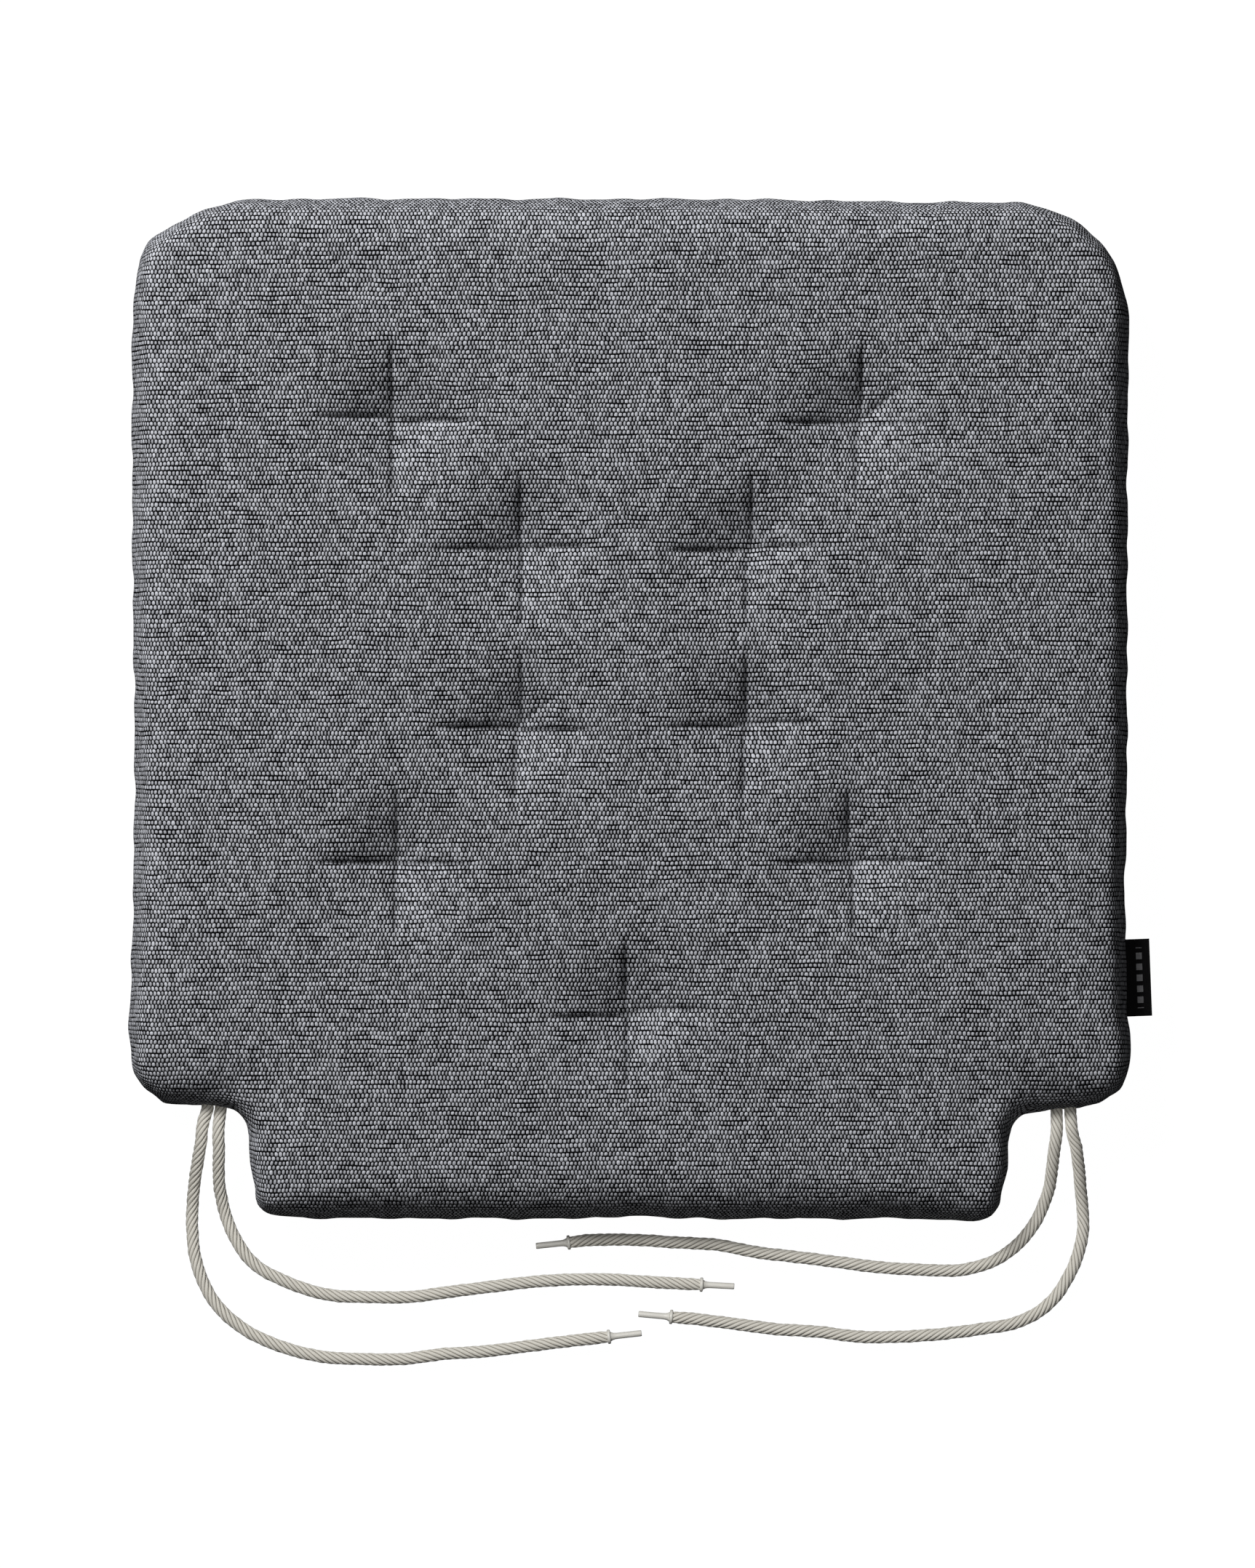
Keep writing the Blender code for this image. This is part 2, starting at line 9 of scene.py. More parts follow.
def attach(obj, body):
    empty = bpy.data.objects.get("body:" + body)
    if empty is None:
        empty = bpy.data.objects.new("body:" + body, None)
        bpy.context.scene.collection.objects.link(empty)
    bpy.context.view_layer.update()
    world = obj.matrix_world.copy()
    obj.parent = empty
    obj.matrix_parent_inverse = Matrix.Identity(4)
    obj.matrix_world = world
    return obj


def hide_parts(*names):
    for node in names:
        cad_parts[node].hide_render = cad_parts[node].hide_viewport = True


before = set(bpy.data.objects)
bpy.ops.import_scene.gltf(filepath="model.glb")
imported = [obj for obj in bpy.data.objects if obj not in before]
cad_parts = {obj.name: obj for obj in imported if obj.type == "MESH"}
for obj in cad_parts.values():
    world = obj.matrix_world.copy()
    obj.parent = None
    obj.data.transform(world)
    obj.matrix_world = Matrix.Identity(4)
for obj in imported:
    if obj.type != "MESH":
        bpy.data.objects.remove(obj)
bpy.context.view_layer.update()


# Camera, lamps and floor. The pad lies flat and the camera hangs straight above it on a long lens.
# A big soft lamp stands beyond the pad's front left corner, and a dim white room fills the shade.
VIEW_HEIGHT = 0.6296
VIEW_CENTRE = (-0.0009, -0.0302, 0.0165)
LENS = 0.200
SENSOR = 0.036

bpy.ops.object.select_all(action="DESELECT")
eye_height = VIEW_CENTRE[2] + VIEW_HEIGHT * LENS / SENSOR
bpy.ops.object.camera_add(location=(VIEW_CENTRE[0], VIEW_CENTRE[1], eye_height), rotation=(0, 0, 0))
camera = bpy.context.object
camera.name = "camera"
camera.data.lens = LENS * 1000
camera.data.sensor_width = SENSOR * 1000
camera.data.clip_end = 50
bpy.context.scene.camera = camera
bpy.context.scene.view_settings.view_transform = "Standard"

KEY_AZIMUTH = math.radians(37)
KEY_HEIGHT = math.radians(36)
KEY_DISTANCE = 2.9
KEY_SIZE = 0.9
KEY_POWER = 136
ROOM_LIGHT = 0.02
TOP_HEIGHT = 4.2
TOP_SIZE = 1.0
TOP_POWER = 30


def soft_lamp(name, height, power):
    """A square lamp to the front left of the pad, turned to it, at a given height above the floor."""
    place = KEY_DISTANCE * Vector(
        (
            -math.sin(KEY_AZIMUTH) * math.cos(height),
            math.cos(KEY_AZIMUTH) * math.cos(height),
            math.sin(height),
        )
    )
    bpy.ops.object.light_add(type="AREA", location=place)
    lamp = bpy.context.object
    lamp.name = name
    lamp.data.energy = power
    lamp.data.size = KEY_SIZE
    lamp.rotation_euler = (-place).to_track_quat("-Z", "Y").to_euler()
    return lamp


key_lamp = soft_lamp("key_lamp", KEY_HEIGHT, KEY_POWER)
bpy.ops.object.light_add(type="AREA", location=(0, 0, TOP_HEIGHT))
top_lamp = bpy.context.object
top_lamp.name = "top_lamp"
top_lamp.data.energy = TOP_POWER
top_lamp.data.size = TOP_SIZE


def wire(tree, kind, inputs=(), **settings):
    """Adds a node with its settings. An input is a plain value, or the socket that feeds it."""
    node = tree.nodes.new(kind)
    for label, value in settings.items():
        setattr(node, label, value)
    for place, value in dict(inputs).items():
        if isinstance(value, bpy.types.NodeSocket):
            tree.links.new(value, node.inputs[place])
        else:
            node.inputs[place].default_value = value
    return node


room = bpy.data.worlds.new("room")
bpy.context.scene.world = room
room.use_nodes = True
room.node_tree.nodes.clear()
seen = wire(room.node_tree, "ShaderNodeLightPath").outputs["Is Camera Ray"]
strength = wire(
    room.node_tree, "ShaderNodeMapRange", {"Value": seen, "To Min": ROOM_LIGHT, "To Max": 1.0}
)
sky = wire(room.node_tree, "ShaderNodeBackground", {"Strength": strength.outputs[0]})
sky.inputs["Color"].default_value = (1.0, 1.0, 1.0, 1.0)
wire(room.node_tree, "ShaderNodeOutputWorld", {"Surface": sky.outputs[0]})

FLOOR_SIZE = 30
FLOOR_DROP = 0.0003
FLOOR_SHADE = (0.035, 0.035, 0.035, 1)
FLOOR_SHOWN = (0.05, 0.05, 0.05, 1)
FLOOR_GLOW = (0.99, 0.99, 0.99, 1)
bpy.ops.mesh.primitive_plane_add(size=FLOOR_SIZE, location=(0, 0, -FLOOR_DROP))
floor = bpy.context.object
floor.name = "floor"
floor_paint = bpy.data.materials.new("floor_paint")
floor_paint.use_nodes = True
tree = floor_paint.node_tree
tree.nodes.clear()
seen = wire(tree, "ShaderNodeLightPath").outputs["Is Camera Ray"]
dim = wire(tree, "ShaderNodeBsdfDiffuse", {"Color": FLOOR_SHADE})
pale = wire(tree, "ShaderNodeBsdfDiffuse", {"Color": FLOOR_SHOWN})
glow = wire(tree, "ShaderNodeEmission", {"Color": FLOOR_GLOW, "Strength": 1.0})
shown = wire(tree, "ShaderNodeAddShader", {0: pale.outputs[0], 1: glow.outputs[0]})
mixed = wire(
    tree, "ShaderNodeMixShader", {"Fac": seen, 1: dim.outputs[0], 2: shown.outputs[0]}
)
wire(tree, "ShaderNodeOutputMaterial", {"Surface": mixed.outputs[0]})
floor.data.materials.append(floor_paint)


# Tie cords. Four cream cotton cords of seven strands each, in pairs that leave the seam beside the
# back tongue, one pair laid to the left and the other to the right, sewn in under a bar tack.
CORD_RADIUS = 0.0025
CORD_CLEARANCE = 0.0001
CORD_TAIL = 0.0041
CORD_FALL_START = 0.007
CORD_FALL_END = 0.046
CORD_LIFT_LENGTH = 0.025
CORD_END_RADIUS = 0.0029
SEAM_HEIGHT = 0.0165
STEP_Y = -0.160
TIP_OVERLAP = 0.0007
STRANDS = 7
STRAND_POINTS = 7
STRAND_HOLLOW = 0.2
STRAND_ROUNDNESS = 2.4
TWIST_PITCH = 0.021
RING_SPACING = 0.0008
CURVE_STEPS = 20
# A strand's small swellings: share of the radius, how often along it, and the shift between strands.
WANDERS = ((0.024, 310, 2.4), (0.020, 777, 5.1))
END_PINCH = 0.10
END_PINCH_LENGTH = 0.004

# Each cord: where it leaves the seam, its length, which way it is wound, and its bends from there.
CORDS = {
    "left_outer": (
        -0.16935, 0.254, 1,
        (-0.002, -0.007), (-0.003, -0.015), (-0.006, -0.032), (-0.007, -0.048),
        (-0.005, -0.064), (0.002, -0.079), (0.014, -0.090), (0.029, -0.097),
        (0.045, -0.101), (0.061, -0.102), (0.078, -0.102), (0.094, -0.100),
        (0.110, -0.099), (0.127, -0.097), (0.143, -0.095), (0.161, -0.093),
    ),
    "left_inner": (
        -0.16405, 0.258, 1,
        (-0.001, -0.008), (-0.001, -0.017), (-0.001, -0.033), (0.003, -0.049),
        (0.012, -0.063), (0.026, -0.071), (0.042, -0.076), (0.058, -0.077),
        (0.075, -0.077), (0.091, -0.075), (0.107, -0.073), (0.124, -0.071),
        (0.140, -0.070), (0.157, -0.070), (0.173, -0.071), (0.193, -0.072),
    ),
    "right_inner": (
        0.17135, 0.251, -1,
        (0.000, -0.010), (-0.001, -0.019), (-0.003, -0.035), (-0.010, -0.050),
        (-0.022, -0.061), (-0.037, -0.066), (-0.054, -0.066), (-0.071, -0.065),
        (-0.087, -0.063), (-0.103, -0.061), (-0.120, -0.059), (-0.136, -0.056),
        (-0.153, -0.055), (-0.169, -0.054), (-0.186, -0.054), (-0.196, -0.055),
    ),
    "right_outer": (
        0.17665, 0.246, -1,
        (0.001, -0.010), (0.003, -0.018), (0.005, -0.034), (0.006, -0.050),
        (0.002, -0.065), (-0.007, -0.079), (-0.020, -0.087), (-0.036, -0.090),
        (-0.052, -0.092), (-0.068, -0.093), (-0.084, -0.093), (-0.101, -0.091),
        (-0.117, -0.090), (-0.133, -0.088), (-0.149, -0.086), (-0.160, -0.085),
    ),
}


def eased(share):
    share = min(max(share, 0.0), 1.0)
    return share * share * (3 - 2 * share)


def smooth_line(route, spacing):
    """Points at an even spacing along the smooth curve through a route's own points."""
    points = [Vector(place) for place in route]
    ends = [2 * points[0] - points[1]] + points + [2 * points[-1] - points[-2]]
    fine = []
    for a, b, c, d in zip(ends, ends[1:], ends[2:], ends[3:]):
        for i in range(CURVE_STEPS):
            t = i / CURVE_STEPS
            fine.append(
                0.5 * (2 * b + (c - a) * t + (2 * a - 5 * b + 4 * c - d) * t**2
                + (3 * b - a - 3 * c + d) * t**3)
            )
    fine.append(points[-1])
    travelled = np.concatenate(
        ([0.0], np.cumsum([(after - before).length for before, after in zip(fine, fine[1:])]))
    )
    targets = np.linspace(0.0, travelled[-1], round(travelled[-1] / spacing) + 1)
    fine = np.array(fine)
    return np.stack([np.interp(targets, travelled, fine[:, k]) for k in range(3)], axis=1)


def cord_line(exit_x, bends):
    """A cord's centre line: out of the seam, down to the surface the pad lies on, and along it."""
    exit_place = Vector((exit_x, STEP_Y, SEAM_HEIGHT))
    route = [exit_place] + [exit_place + Vector((across, along, 0.0)) for across, along in bends]
    line = smooth_line(route, RING_SPACING)
    resting = CORD_RADIUS + CORD_CLEARANCE
    at_tip = CORD_END_RADIUS + CORD_CLEARANCE
    for i, place in enumerate(line):
        travelled = i * RING_SPACING
        left = (len(line) - 1 - i) * RING_SPACING
        fallen = eased((travelled - CORD_FALL_START) / (CORD_FALL_END - CORD_FALL_START))
        lifted = 1 - eased(left / CORD_LIFT_LENGTH)
        place[2] = SEAM_HEIGHT + (resting - SEAM_HEIGHT) * fallen + (at_tip - resting) * lifted
    tail_steps = round(CORD_TAIL / RING_SPACING)
    tail = np.array(
        [(exit_x, STEP_Y + CORD_TAIL * k / tail_steps, SEAM_HEIGHT) for k in range(tail_steps, 0, -1)]
    )
    return np.concatenate((tail, line))


def rings_along(line):
    """Unit vectors across a line at each of its points, turned as little as can be on the way."""
    headings = np.gradient(line, axis=0)
    headings /= np.linalg.norm(headings, axis=1)[:, None]
    across = []
    side = np.array((0.0, 0.0, 1.0))
    for heading in headings:
        side = side - heading * side.dot(heading)
        side /= np.linalg.norm(side)
        across.append(side)
    across = np.array(across)
    return headings, across, np.cross(headings, across)


def twisted_cord(name, line, turn, phase, thickness=CORD_RADIUS, strands=STRANDS, pitch=TWIST_PITCH):
    """A cord's mesh round its centre line, with its strands wound one way or the other."""
    headings, across, upward = rings_along(line)
    travelled = np.concatenate(([0.0], np.cumsum(np.linalg.norm(np.diff(line, axis=0), axis=1))))
    count = strands * STRAND_POINTS
    rows = len(line)
    angle = 2 * math.pi * np.arange(count) / count
    step = np.arange(count) % STRAND_POINTS / STRAND_POINTS
    bulge = 1 - np.abs(2 * step - 1) ** STRAND_ROUNDNESS
    strand = np.arange(count) // STRAND_POINTS
    wander = sum(
        share * np.sin(travelled[:, None] * often + strand[None, :] * apart + phase)
        for share, often, apart in WANDERS
    )
    radius = thickness * (1 - STRAND_HOLLOW * (1 - bulge)[None, :] + wander)
    end = travelled[-1]
    pinch = np.array([1 - END_PINCH * (1 - eased((end - t) / END_PINCH_LENGTH)) for t in travelled])
    radius = radius * pinch[:, None]
    wound = angle[None, :] + turn * 2 * math.pi * travelled[:, None] / pitch + phase
    points = (
        line[:, None, :]
        + across[:, None, :] * (radius * np.cos(wound))[:, :, None]
        + upward[:, None, :] * (radius * np.sin(wound))[:, :, None]
    ).reshape(-1, 3)
    verts = np.concatenate((points, line[:1], line[-1:]))
    faces, laid = [], []
    for i in range(rows - 1):
        for j in range(count):
            k = (j + 1) % count
            faces.append((i * count + j, i * count + k, (i + 1) * count + k, (i + 1) * count + j))
            low, high = j / STRAND_POINTS, (j + 1) / STRAND_POINTS
            near, far = travelled[i], travelled[i + 1]
            laid += [(low, near), (high, near), (high, far), (low, far)]
    for j in range(count):
        k = (j + 1) % count
        last = (rows - 1) * count
        faces.append((k, j, len(verts) - 2))
        faces.append((last + j, last + k, len(verts) - 1))
        laid += [(j / STRAND_POINTS, 0.0)] * 3 + [(j / STRAND_POINTS, travelled[-1])] * 3
    mesh = bpy.data.meshes.new(name)
    mesh.from_pydata(verts.tolist(), [], faces)
    laid_map = mesh.uv_layers.new(name="lay")
    laid_map.data.foreach_set("uv", np.array(laid, dtype=np.float32).ravel())
    # How near each point is to its strand's crest; the cord's material paints shade into the grooves
    # with it.
    crest = mesh.attributes.new("crest", "FLOAT", "POINT")
    crest.data.foreach_set(
        "value", np.concatenate((np.tile(bulge, rows), (1.0, 1.0))).astype(np.float32)
    )
    mesh.polygons.foreach_set("use_smooth", [True] * len(mesh.polygons))
    mesh.update()
    cord = bpy.data.objects.new(name, mesh)
    bpy.context.scene.collection.objects.link(cord)
    return cord


def new_group(name, inputs, outputs):
    """A shader group with named sockets. Gives back its tree and its input node."""
    group = bpy.data.node_groups.new(name, "ShaderNodeTree")
    for label, kind, start in inputs:
        made = group.interface.new_socket(label, in_out="INPUT", socket_type="NodeSocket" + kind)
        made.default_value = start
    for label, kind in outputs:
        group.interface.new_socket(label, in_out="OUTPUT", socket_type="NodeSocket" + kind)
    return group, group.nodes.new("NodeGroupInput")


def sums(tree, operation, *values):
    """The result of one Math node."""
    return wire(tree, "ShaderNodeMath", dict(enumerate(values)), operation=operation).outputs[0]


def blend_colour(tree, share, start, end):
    mixed = wire(tree, "ShaderNodeMix", {0: share, 6: start, 7: end}, data_type="RGBA")
    return mixed.outputs[2]


def speckle(tree, place, scale, detail=2.0, roughness=0.5):
    """A soft noise that varies over the surface."""
    inputs = {"Vector": place, "Scale": scale, "Detail": detail, "Roughness": roughness}
    return wire(tree, "ShaderNodeTexNoise", inputs).outputs[0]


def ranged(tree, value, low=0.0, high=1.0, start=0.0, end=1.0, **settings):
    """A value spread from low..high to start..end."""
    inputs = {"Value": value, "From Min": low, "From Max": high, "To Min": start, "To Max": end}
    return wire(tree, "ShaderNodeMapRange", inputs, **settings).outputs[0]


def place_of(tree, across, along):
    """A place on the surface from two lengths."""
    return wire(tree, "ShaderNodeCombineXYZ", {0: across, 1: along}).outputs[0]


def new_finish(name, roughness, **constants):
    """An empty material with its shader and output. Gives back the material, tree and shader."""
    finish = bpy.data.materials.new(name)
    finish.use_nodes = True
    tree = finish.node_tree
    tree.nodes.clear()
    shader = wire(tree, "ShaderNodeBsdfPrincipled", {"Roughness": roughness, **constants})
    wire(tree, "ShaderNodeOutputMaterial", {"Surface": shader.outputs[0]})
    return finish, tree, shader


def feed(tree, shader, colour, height, depth):
    """Gives a shader its colour, and its fine relief from a height in parts of a depth."""
    tree.links.new(colour, shader.inputs["Base Color"])
    relief = wire(tree, "ShaderNodeBump", {"Strength": 1.0, "Distance": depth, "Height": height})
    tree.links.new(relief.outputs[0], shader.inputs["Normal"])


# Yarn: fine fibres that run along a strand, with paler and darker ones among them.
yarn, given = new_group(
    "yarn_fibres",
    [
        ("Across", "Float", 0.0), ("Along", "Float", 0.0),
        ("Fibres", "Float", 9.0), ("Length", "Float", 300.0),
    ],
    [("Fibre", "Float"), ("Mottle", "Float")],
)
place = place_of(
    yarn,
    sums(yarn, "MULTIPLY", given.outputs["Across"], given.outputs["Fibres"]),
    sums(yarn, "MULTIPLY", given.outputs["Along"], given.outputs["Length"]),
)
fibre = speckle(yarn, place, 1.0, 3.0, 0.6)
coarser = wire(yarn, "ShaderNodeVectorMath", {0: place, 1: (0.15, 0.3, 1.0)}, operation="MULTIPLY")
mottle = speckle(yarn, coarser.outputs[0], 1.0)
wire(yarn, "NodeGroupOutput", {0: fibre, 1: mottle})


cord_cotton, tree, shader = new_finish("cord_cotton", 0.85, **{"Specular IOR Level": 0.3})
laid = wire(tree, "ShaderNodeUVMap", uv_map="lay")
parts = wire(tree, "ShaderNodeSeparateXYZ", {0: laid.outputs[0]})
crest = wire(tree, "ShaderNodeAttribute", attribute_name="crest").outputs["Fac"]
fibres = wire(
    tree,
    "ShaderNodeGroup",
    {"Across": parts.outputs[0], "Along": parts.outputs[1], "Fibres": 7.0, "Length": 350.0},
    node_tree=yarn,
)
# Painted shade: the grooves between the strands are darkened towards dark brown, standing for the
# shadow between them.
shade = ranged(tree, crest, high=0.65)
body = blend_colour(tree, fibres.outputs[0], (0.58, 0.555, 0.49, 1), (0.82, 0.79, 0.715, 1))
soiled = blend_colour(tree, fibres.outputs[1], (0.60, 0.565, 0.49, 1), (0.76, 0.74, 0.68, 1))
body = blend_colour(tree, 0.35, body, soiled)
colour = blend_colour(tree, shade, (0.16, 0.145, 0.12, 1), body)
feed(tree, shader, colour, fibres.outputs[0], 0.00012)

cord_ends = {}
for number, (name, (exit_x, length, turn, *bends)) in enumerate(CORDS.items()):
    line = cord_line(exit_x, bends)
    cord = twisted_cord("tie_cord_" + name, line, turn, number * 1.7)
    cord.data.materials.append(cord_cotton)
    cord_ends[name] = (cord, line, length)


# Cord tips. A small turned tip of cream plastic is crimped on each cord's end: a thin collar, a
# short cone and a straight pin.
TIP_SIDES = 40
# The radius and height of each ring, from the cord's end to the rounded end of the pin.
TIP_PROFILE = (
    (0.00240, 0.00000),
    (0.00278, 0.00012),
    (0.00290, 0.00040),
    (0.00290, 0.00090),
    (0.00276, 0.00120),
    (0.00235, 0.00130),
    (0.00195, 0.00135),
    (0.00178, 0.00165),
    (0.00152, 0.00220),
    (0.00134, 0.00290),
    (0.00126, 0.00400),
    (0.00124, 0.00800),
    (0.00125, 0.01340),
    (0.00120, 0.01375),
    (0.00105, 0.01390),
    (0.00060, 0.01390),
)


def cord_tip(name, end, heading):
    """A tip turned from a disc that is drawn out ring by ring, then laid along its cord."""
    bpy.ops.object.select_all(action="DESELECT")
    bpy.ops.mesh.primitive_circle_add(vertices=TIP_SIDES, radius=TIP_PROFILE[0][0], fill_type="NGON")
    tip = bpy.context.object
    tip.name = name
    bpy.ops.object.mode_set(mode="EDIT")
    bpy.ops.mesh.select_mode(type="FACE")
    bpy.ops.mesh.select_all(action="SELECT")
    radius, height = TIP_PROFILE[0]
    for next_radius, next_height in TIP_PROFILE[1:]:
        bpy.ops.mesh.extrude_region_move(
            TRANSFORM_OT_translate={"value": (0, 0, next_height - height)}
        )
        share = next_radius / radius
        bpy.ops.transform.resize(value=(share, share, 1), center_override=(0, 0, next_height))
        radius, height = next_radius, next_height
    bpy.ops.mesh.select_all(action="SELECT")
    bpy.ops.mesh.normals_make_consistent(inside=False)
    bpy.ops.object.mode_set(mode="OBJECT")
    tip.rotation_mode = "QUATERNION"
    tip.rotation_quaternion = heading.to_track_quat("Z", "Y")
    tip.location = end - heading * TIP_OVERLAP
    bpy.ops.object.transform_apply(location=True, rotation=True, scale=True)
    bpy.ops.object.shade_smooth_by_angle(angle=math.radians(50))
    return tip


tip_plastic, tree, shader = new_finish("tip_plastic", 0.38, **{"Specular IOR Level": 0.45})
place = wire(tree, "ShaderNodeTexCoord").outputs["Object"]
clouds = speckle(tree, place, 260.0, 3.0)
scuffs = speckle(tree, place, 1900.0)
colour = blend_colour(tree, clouds, (0.66, 0.64, 0.585, 1), (0.78, 0.765, 0.71, 1))
tree.links.new(ranged(tree, scuffs, start=0.28, end=0.52), shader.inputs["Roughness"])
feed(tree, shader, colour, scuffs, 0.00004)

lit_pieces = []
for name, (cord, line, length) in cord_ends.items():
    heading = Vector(line[-1] - line[-2])
    heading.z = 0.0
    tip = cord_tip("tip_" + name, Vector(line[-1]), heading.normalized())
    tip.data.materials.append(tip_plastic)
    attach(tip, "root")
    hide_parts("cord_tip_" + name)
    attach(cord, "root")
    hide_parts("cord_" + name)
    lit_pieces += [cord, tip]

# The cords have a lamp of their own, higher than the pad's, so the pad shades only what is close to it.
CORD_LAMP_HEIGHT = math.radians(58)
CORD_LAMP_POWER = 72
cord_lamp = soft_lamp("cord_lamp", CORD_LAMP_HEIGHT, CORD_LAMP_POWER)
for lamp, state in ((key_lamp, "EXCLUDE"), (cord_lamp, "INCLUDE")):
    chosen = bpy.data.collections.new(lamp.name + "_pieces")
    lamp.light_linking.receiver_collection = chosen
    for piece in lit_pieces:
        chosen.objects.link(piece)
    for entry in chosen.collection_objects:
        entry.light_linking.link_state = state


# Pad cover. Two cloth panels, sewn together round the middle of the pad's side and pulled down to the
# filling by nine tufts, so that the cloth puffs up between them and folds in a cross at each one.
PAD_WIDTH = 0.400
PAD_DEPTH = 0.410
PAD_HEIGHT = 0.036
TONGUE_ROOT_WIDTH = 0.306
TONGUE_END_WIDTH = 0.298
FRONT_RADIUS = 0.047
BACK_RADIUS = 0.020
NOTCH_RADIUS = 0.012
TONGUE_RADIUS = 0.009
EDGE_INSET = 0.0078
TUFTS = (
    (-0.093, 0.116), (0.093, 0.116), (-0.046, 0.065), (0.047, 0.065), (-0.045, -0.007),
    (0.045, -0.007), (-0.094, -0.061), (0.090, -0.061), (0.000, -0.122),
)
CORNER_STEP = math.radians(7.5)
# Where the sewing lets the outline out or draws it in: place, shift and how far round it reaches.
OUTLINE_PULLS = (
    (-0.193, 0.184, -0.0034, 0.0018, 0.014),
    (0.120, 0.205, 0.0000, -0.0014, 0.050),
    (0.200, 0.165, 0.0009, 0.0000, 0.035),
    (-0.200, -0.020, 0.0009, 0.0000, 0.055),
    (0.200, -0.075, -0.0010, 0.0000, 0.030),
    (-0.200, -0.128, -0.0016, 0.0000, 0.020),
    (-0.192, -0.156, -0.0002, -0.0004, 0.014),
    (0.200, -0.143, 0.0016, 0.0000, 0.018),
    (0.193, -0.158, 0.0013, -0.0010, 0.014),
    (0.167, -0.165, 0.0000, -0.0030, 0.011),
    (-0.150, -0.185, -0.0020, 0.0000, 0.022),
    (0.150, -0.183, 0.0012, 0.0000, 0.016),
    (0.136, -0.205, 0.0006, -0.0016, 0.012),
    (0.002, -0.205, 0.0000, 0.0014, 0.010),
)
CUT_SMALLER = 0.0006
VOXEL = 0.0045
PUFF_FRAMES = 20
PUFF_LIMIT = 0.0014
TUFT_HOLD = 0.010
UNDER_HOLD = 0.6
SIDE_STEPS = 7
SHARPEST = 0.0008


def corner(x, y, radius, start, end):
    count = max(2, math.ceil(abs(end - start) / CORNER_STEP))
    turns = [start + (end - start) * i / count for i in range(count + 1)]
    return [(x + radius * math.cos(turn), y + radius * math.sin(turn)) for turn in turns]


def pad_outline(inset):
    """The pad's outline from above, pulled in by inset, clockwise from the middle of its front."""
    side = PAD_WIDTH / 2 - inset
    front = PAD_DEPTH / 2 - inset
    step = STEP_Y + inset
    back = -PAD_DEPTH / 2 + inset
    taper = math.atan2((TONGUE_ROOT_WIDTH - TONGUE_END_WIDTH) / 2, STEP_Y + PAD_DEPTH / 2)
    root = TONGUE_ROOT_WIDTH / 2 - inset / math.cos(taper)
    round_front = FRONT_RADIUS - inset
    round_back = BACK_RADIUS - inset
    round_notch = NOTCH_RADIUS + inset
    round_tongue = max(TONGUE_RADIUS - inset, SHARPEST)
    quarter = math.pi / 2
    right = corner(side - round_front, front - round_front, round_front, quarter, 0)
    right += corner(side - round_back, step + round_back, round_back, 0, -quarter)
    notch_y = step - round_notch
    notch_x = root - math.tan(taper) * (STEP_Y - notch_y) + round_notch / math.cos(taper)
    right += corner(notch_x, notch_y, round_notch, quarter, 2 * quarter - taper)
    tongue_y = back + round_tongue
    tongue_x = root - math.tan(taper) * (STEP_Y - tongue_y) - round_tongue / math.cos(taper)
    right += corner(tongue_x, tongue_y, round_tongue, -taper, -quarter)
    return right + [(-x, y) for x, y in reversed(right)]


def pick(piece):
    bpy.ops.object.select_all(action="DESELECT")
    piece.select_set(True)
    bpy.context.view_layer.objects.active = piece


def add_mesh_object(name, shape):
    mesh = bpy.data.meshes.new(name)
    shape.to_mesh(mesh)
    shape.free()
    made = bpy.data.objects.new(name, mesh)
    bpy.context.scene.collection.objects.link(made)
    pick(made)
    return made


def pad_blank():
    """A closed form a little smaller than the pad, for the cloth to swell from."""
    shape = bmesh.new()
    levels = []
    for high in (0.0, PAD_HEIGHT):
        reach = abs(high - SEAM_HEIGHT) - CUT_SMALLER
        for i in range(SIDE_STEPS):
            turn = math.pi / 2 * i / (SIDE_STEPS - 1)
            inset = CUT_SMALLER + EDGE_INSET * (1 - math.cos(turn))
            rise = reach * math.sin(turn)
            levels.append((inset, SEAM_HEIGHT + (rise if high else -rise)))
    levels = sorted(set(levels), key=lambda level: level[1])
    rings = [[shape.verts.new((x, y, z)) for x, y in pad_outline(inset)] for inset, z in levels]
    for lower, upper in zip(rings, rings[1:]):
        for j in range(len(lower)):
            k = (j + 1) % len(lower)
            shape.faces.new((lower[k], lower[j], upper[j], upper[k]))
    caps = [shape.faces.new(rings[0]), shape.faces.new(list(reversed(rings[-1])))]
    bmesh.ops.triangulate(shape, faces=caps)
    bmesh.ops.recalc_face_normals(shape, faces=shape.faces)
    return add_mesh_object("pad_cover", shape)


def places_of(piece):
    places = np.empty(len(piece.data.vertices) * 3)
    piece.data.vertices.foreach_get("co", places)
    return places.reshape(-1, 3)


def move_to(piece, places):
    piece.data.vertices.foreach_set("co", places.ravel())
    piece.data.update()


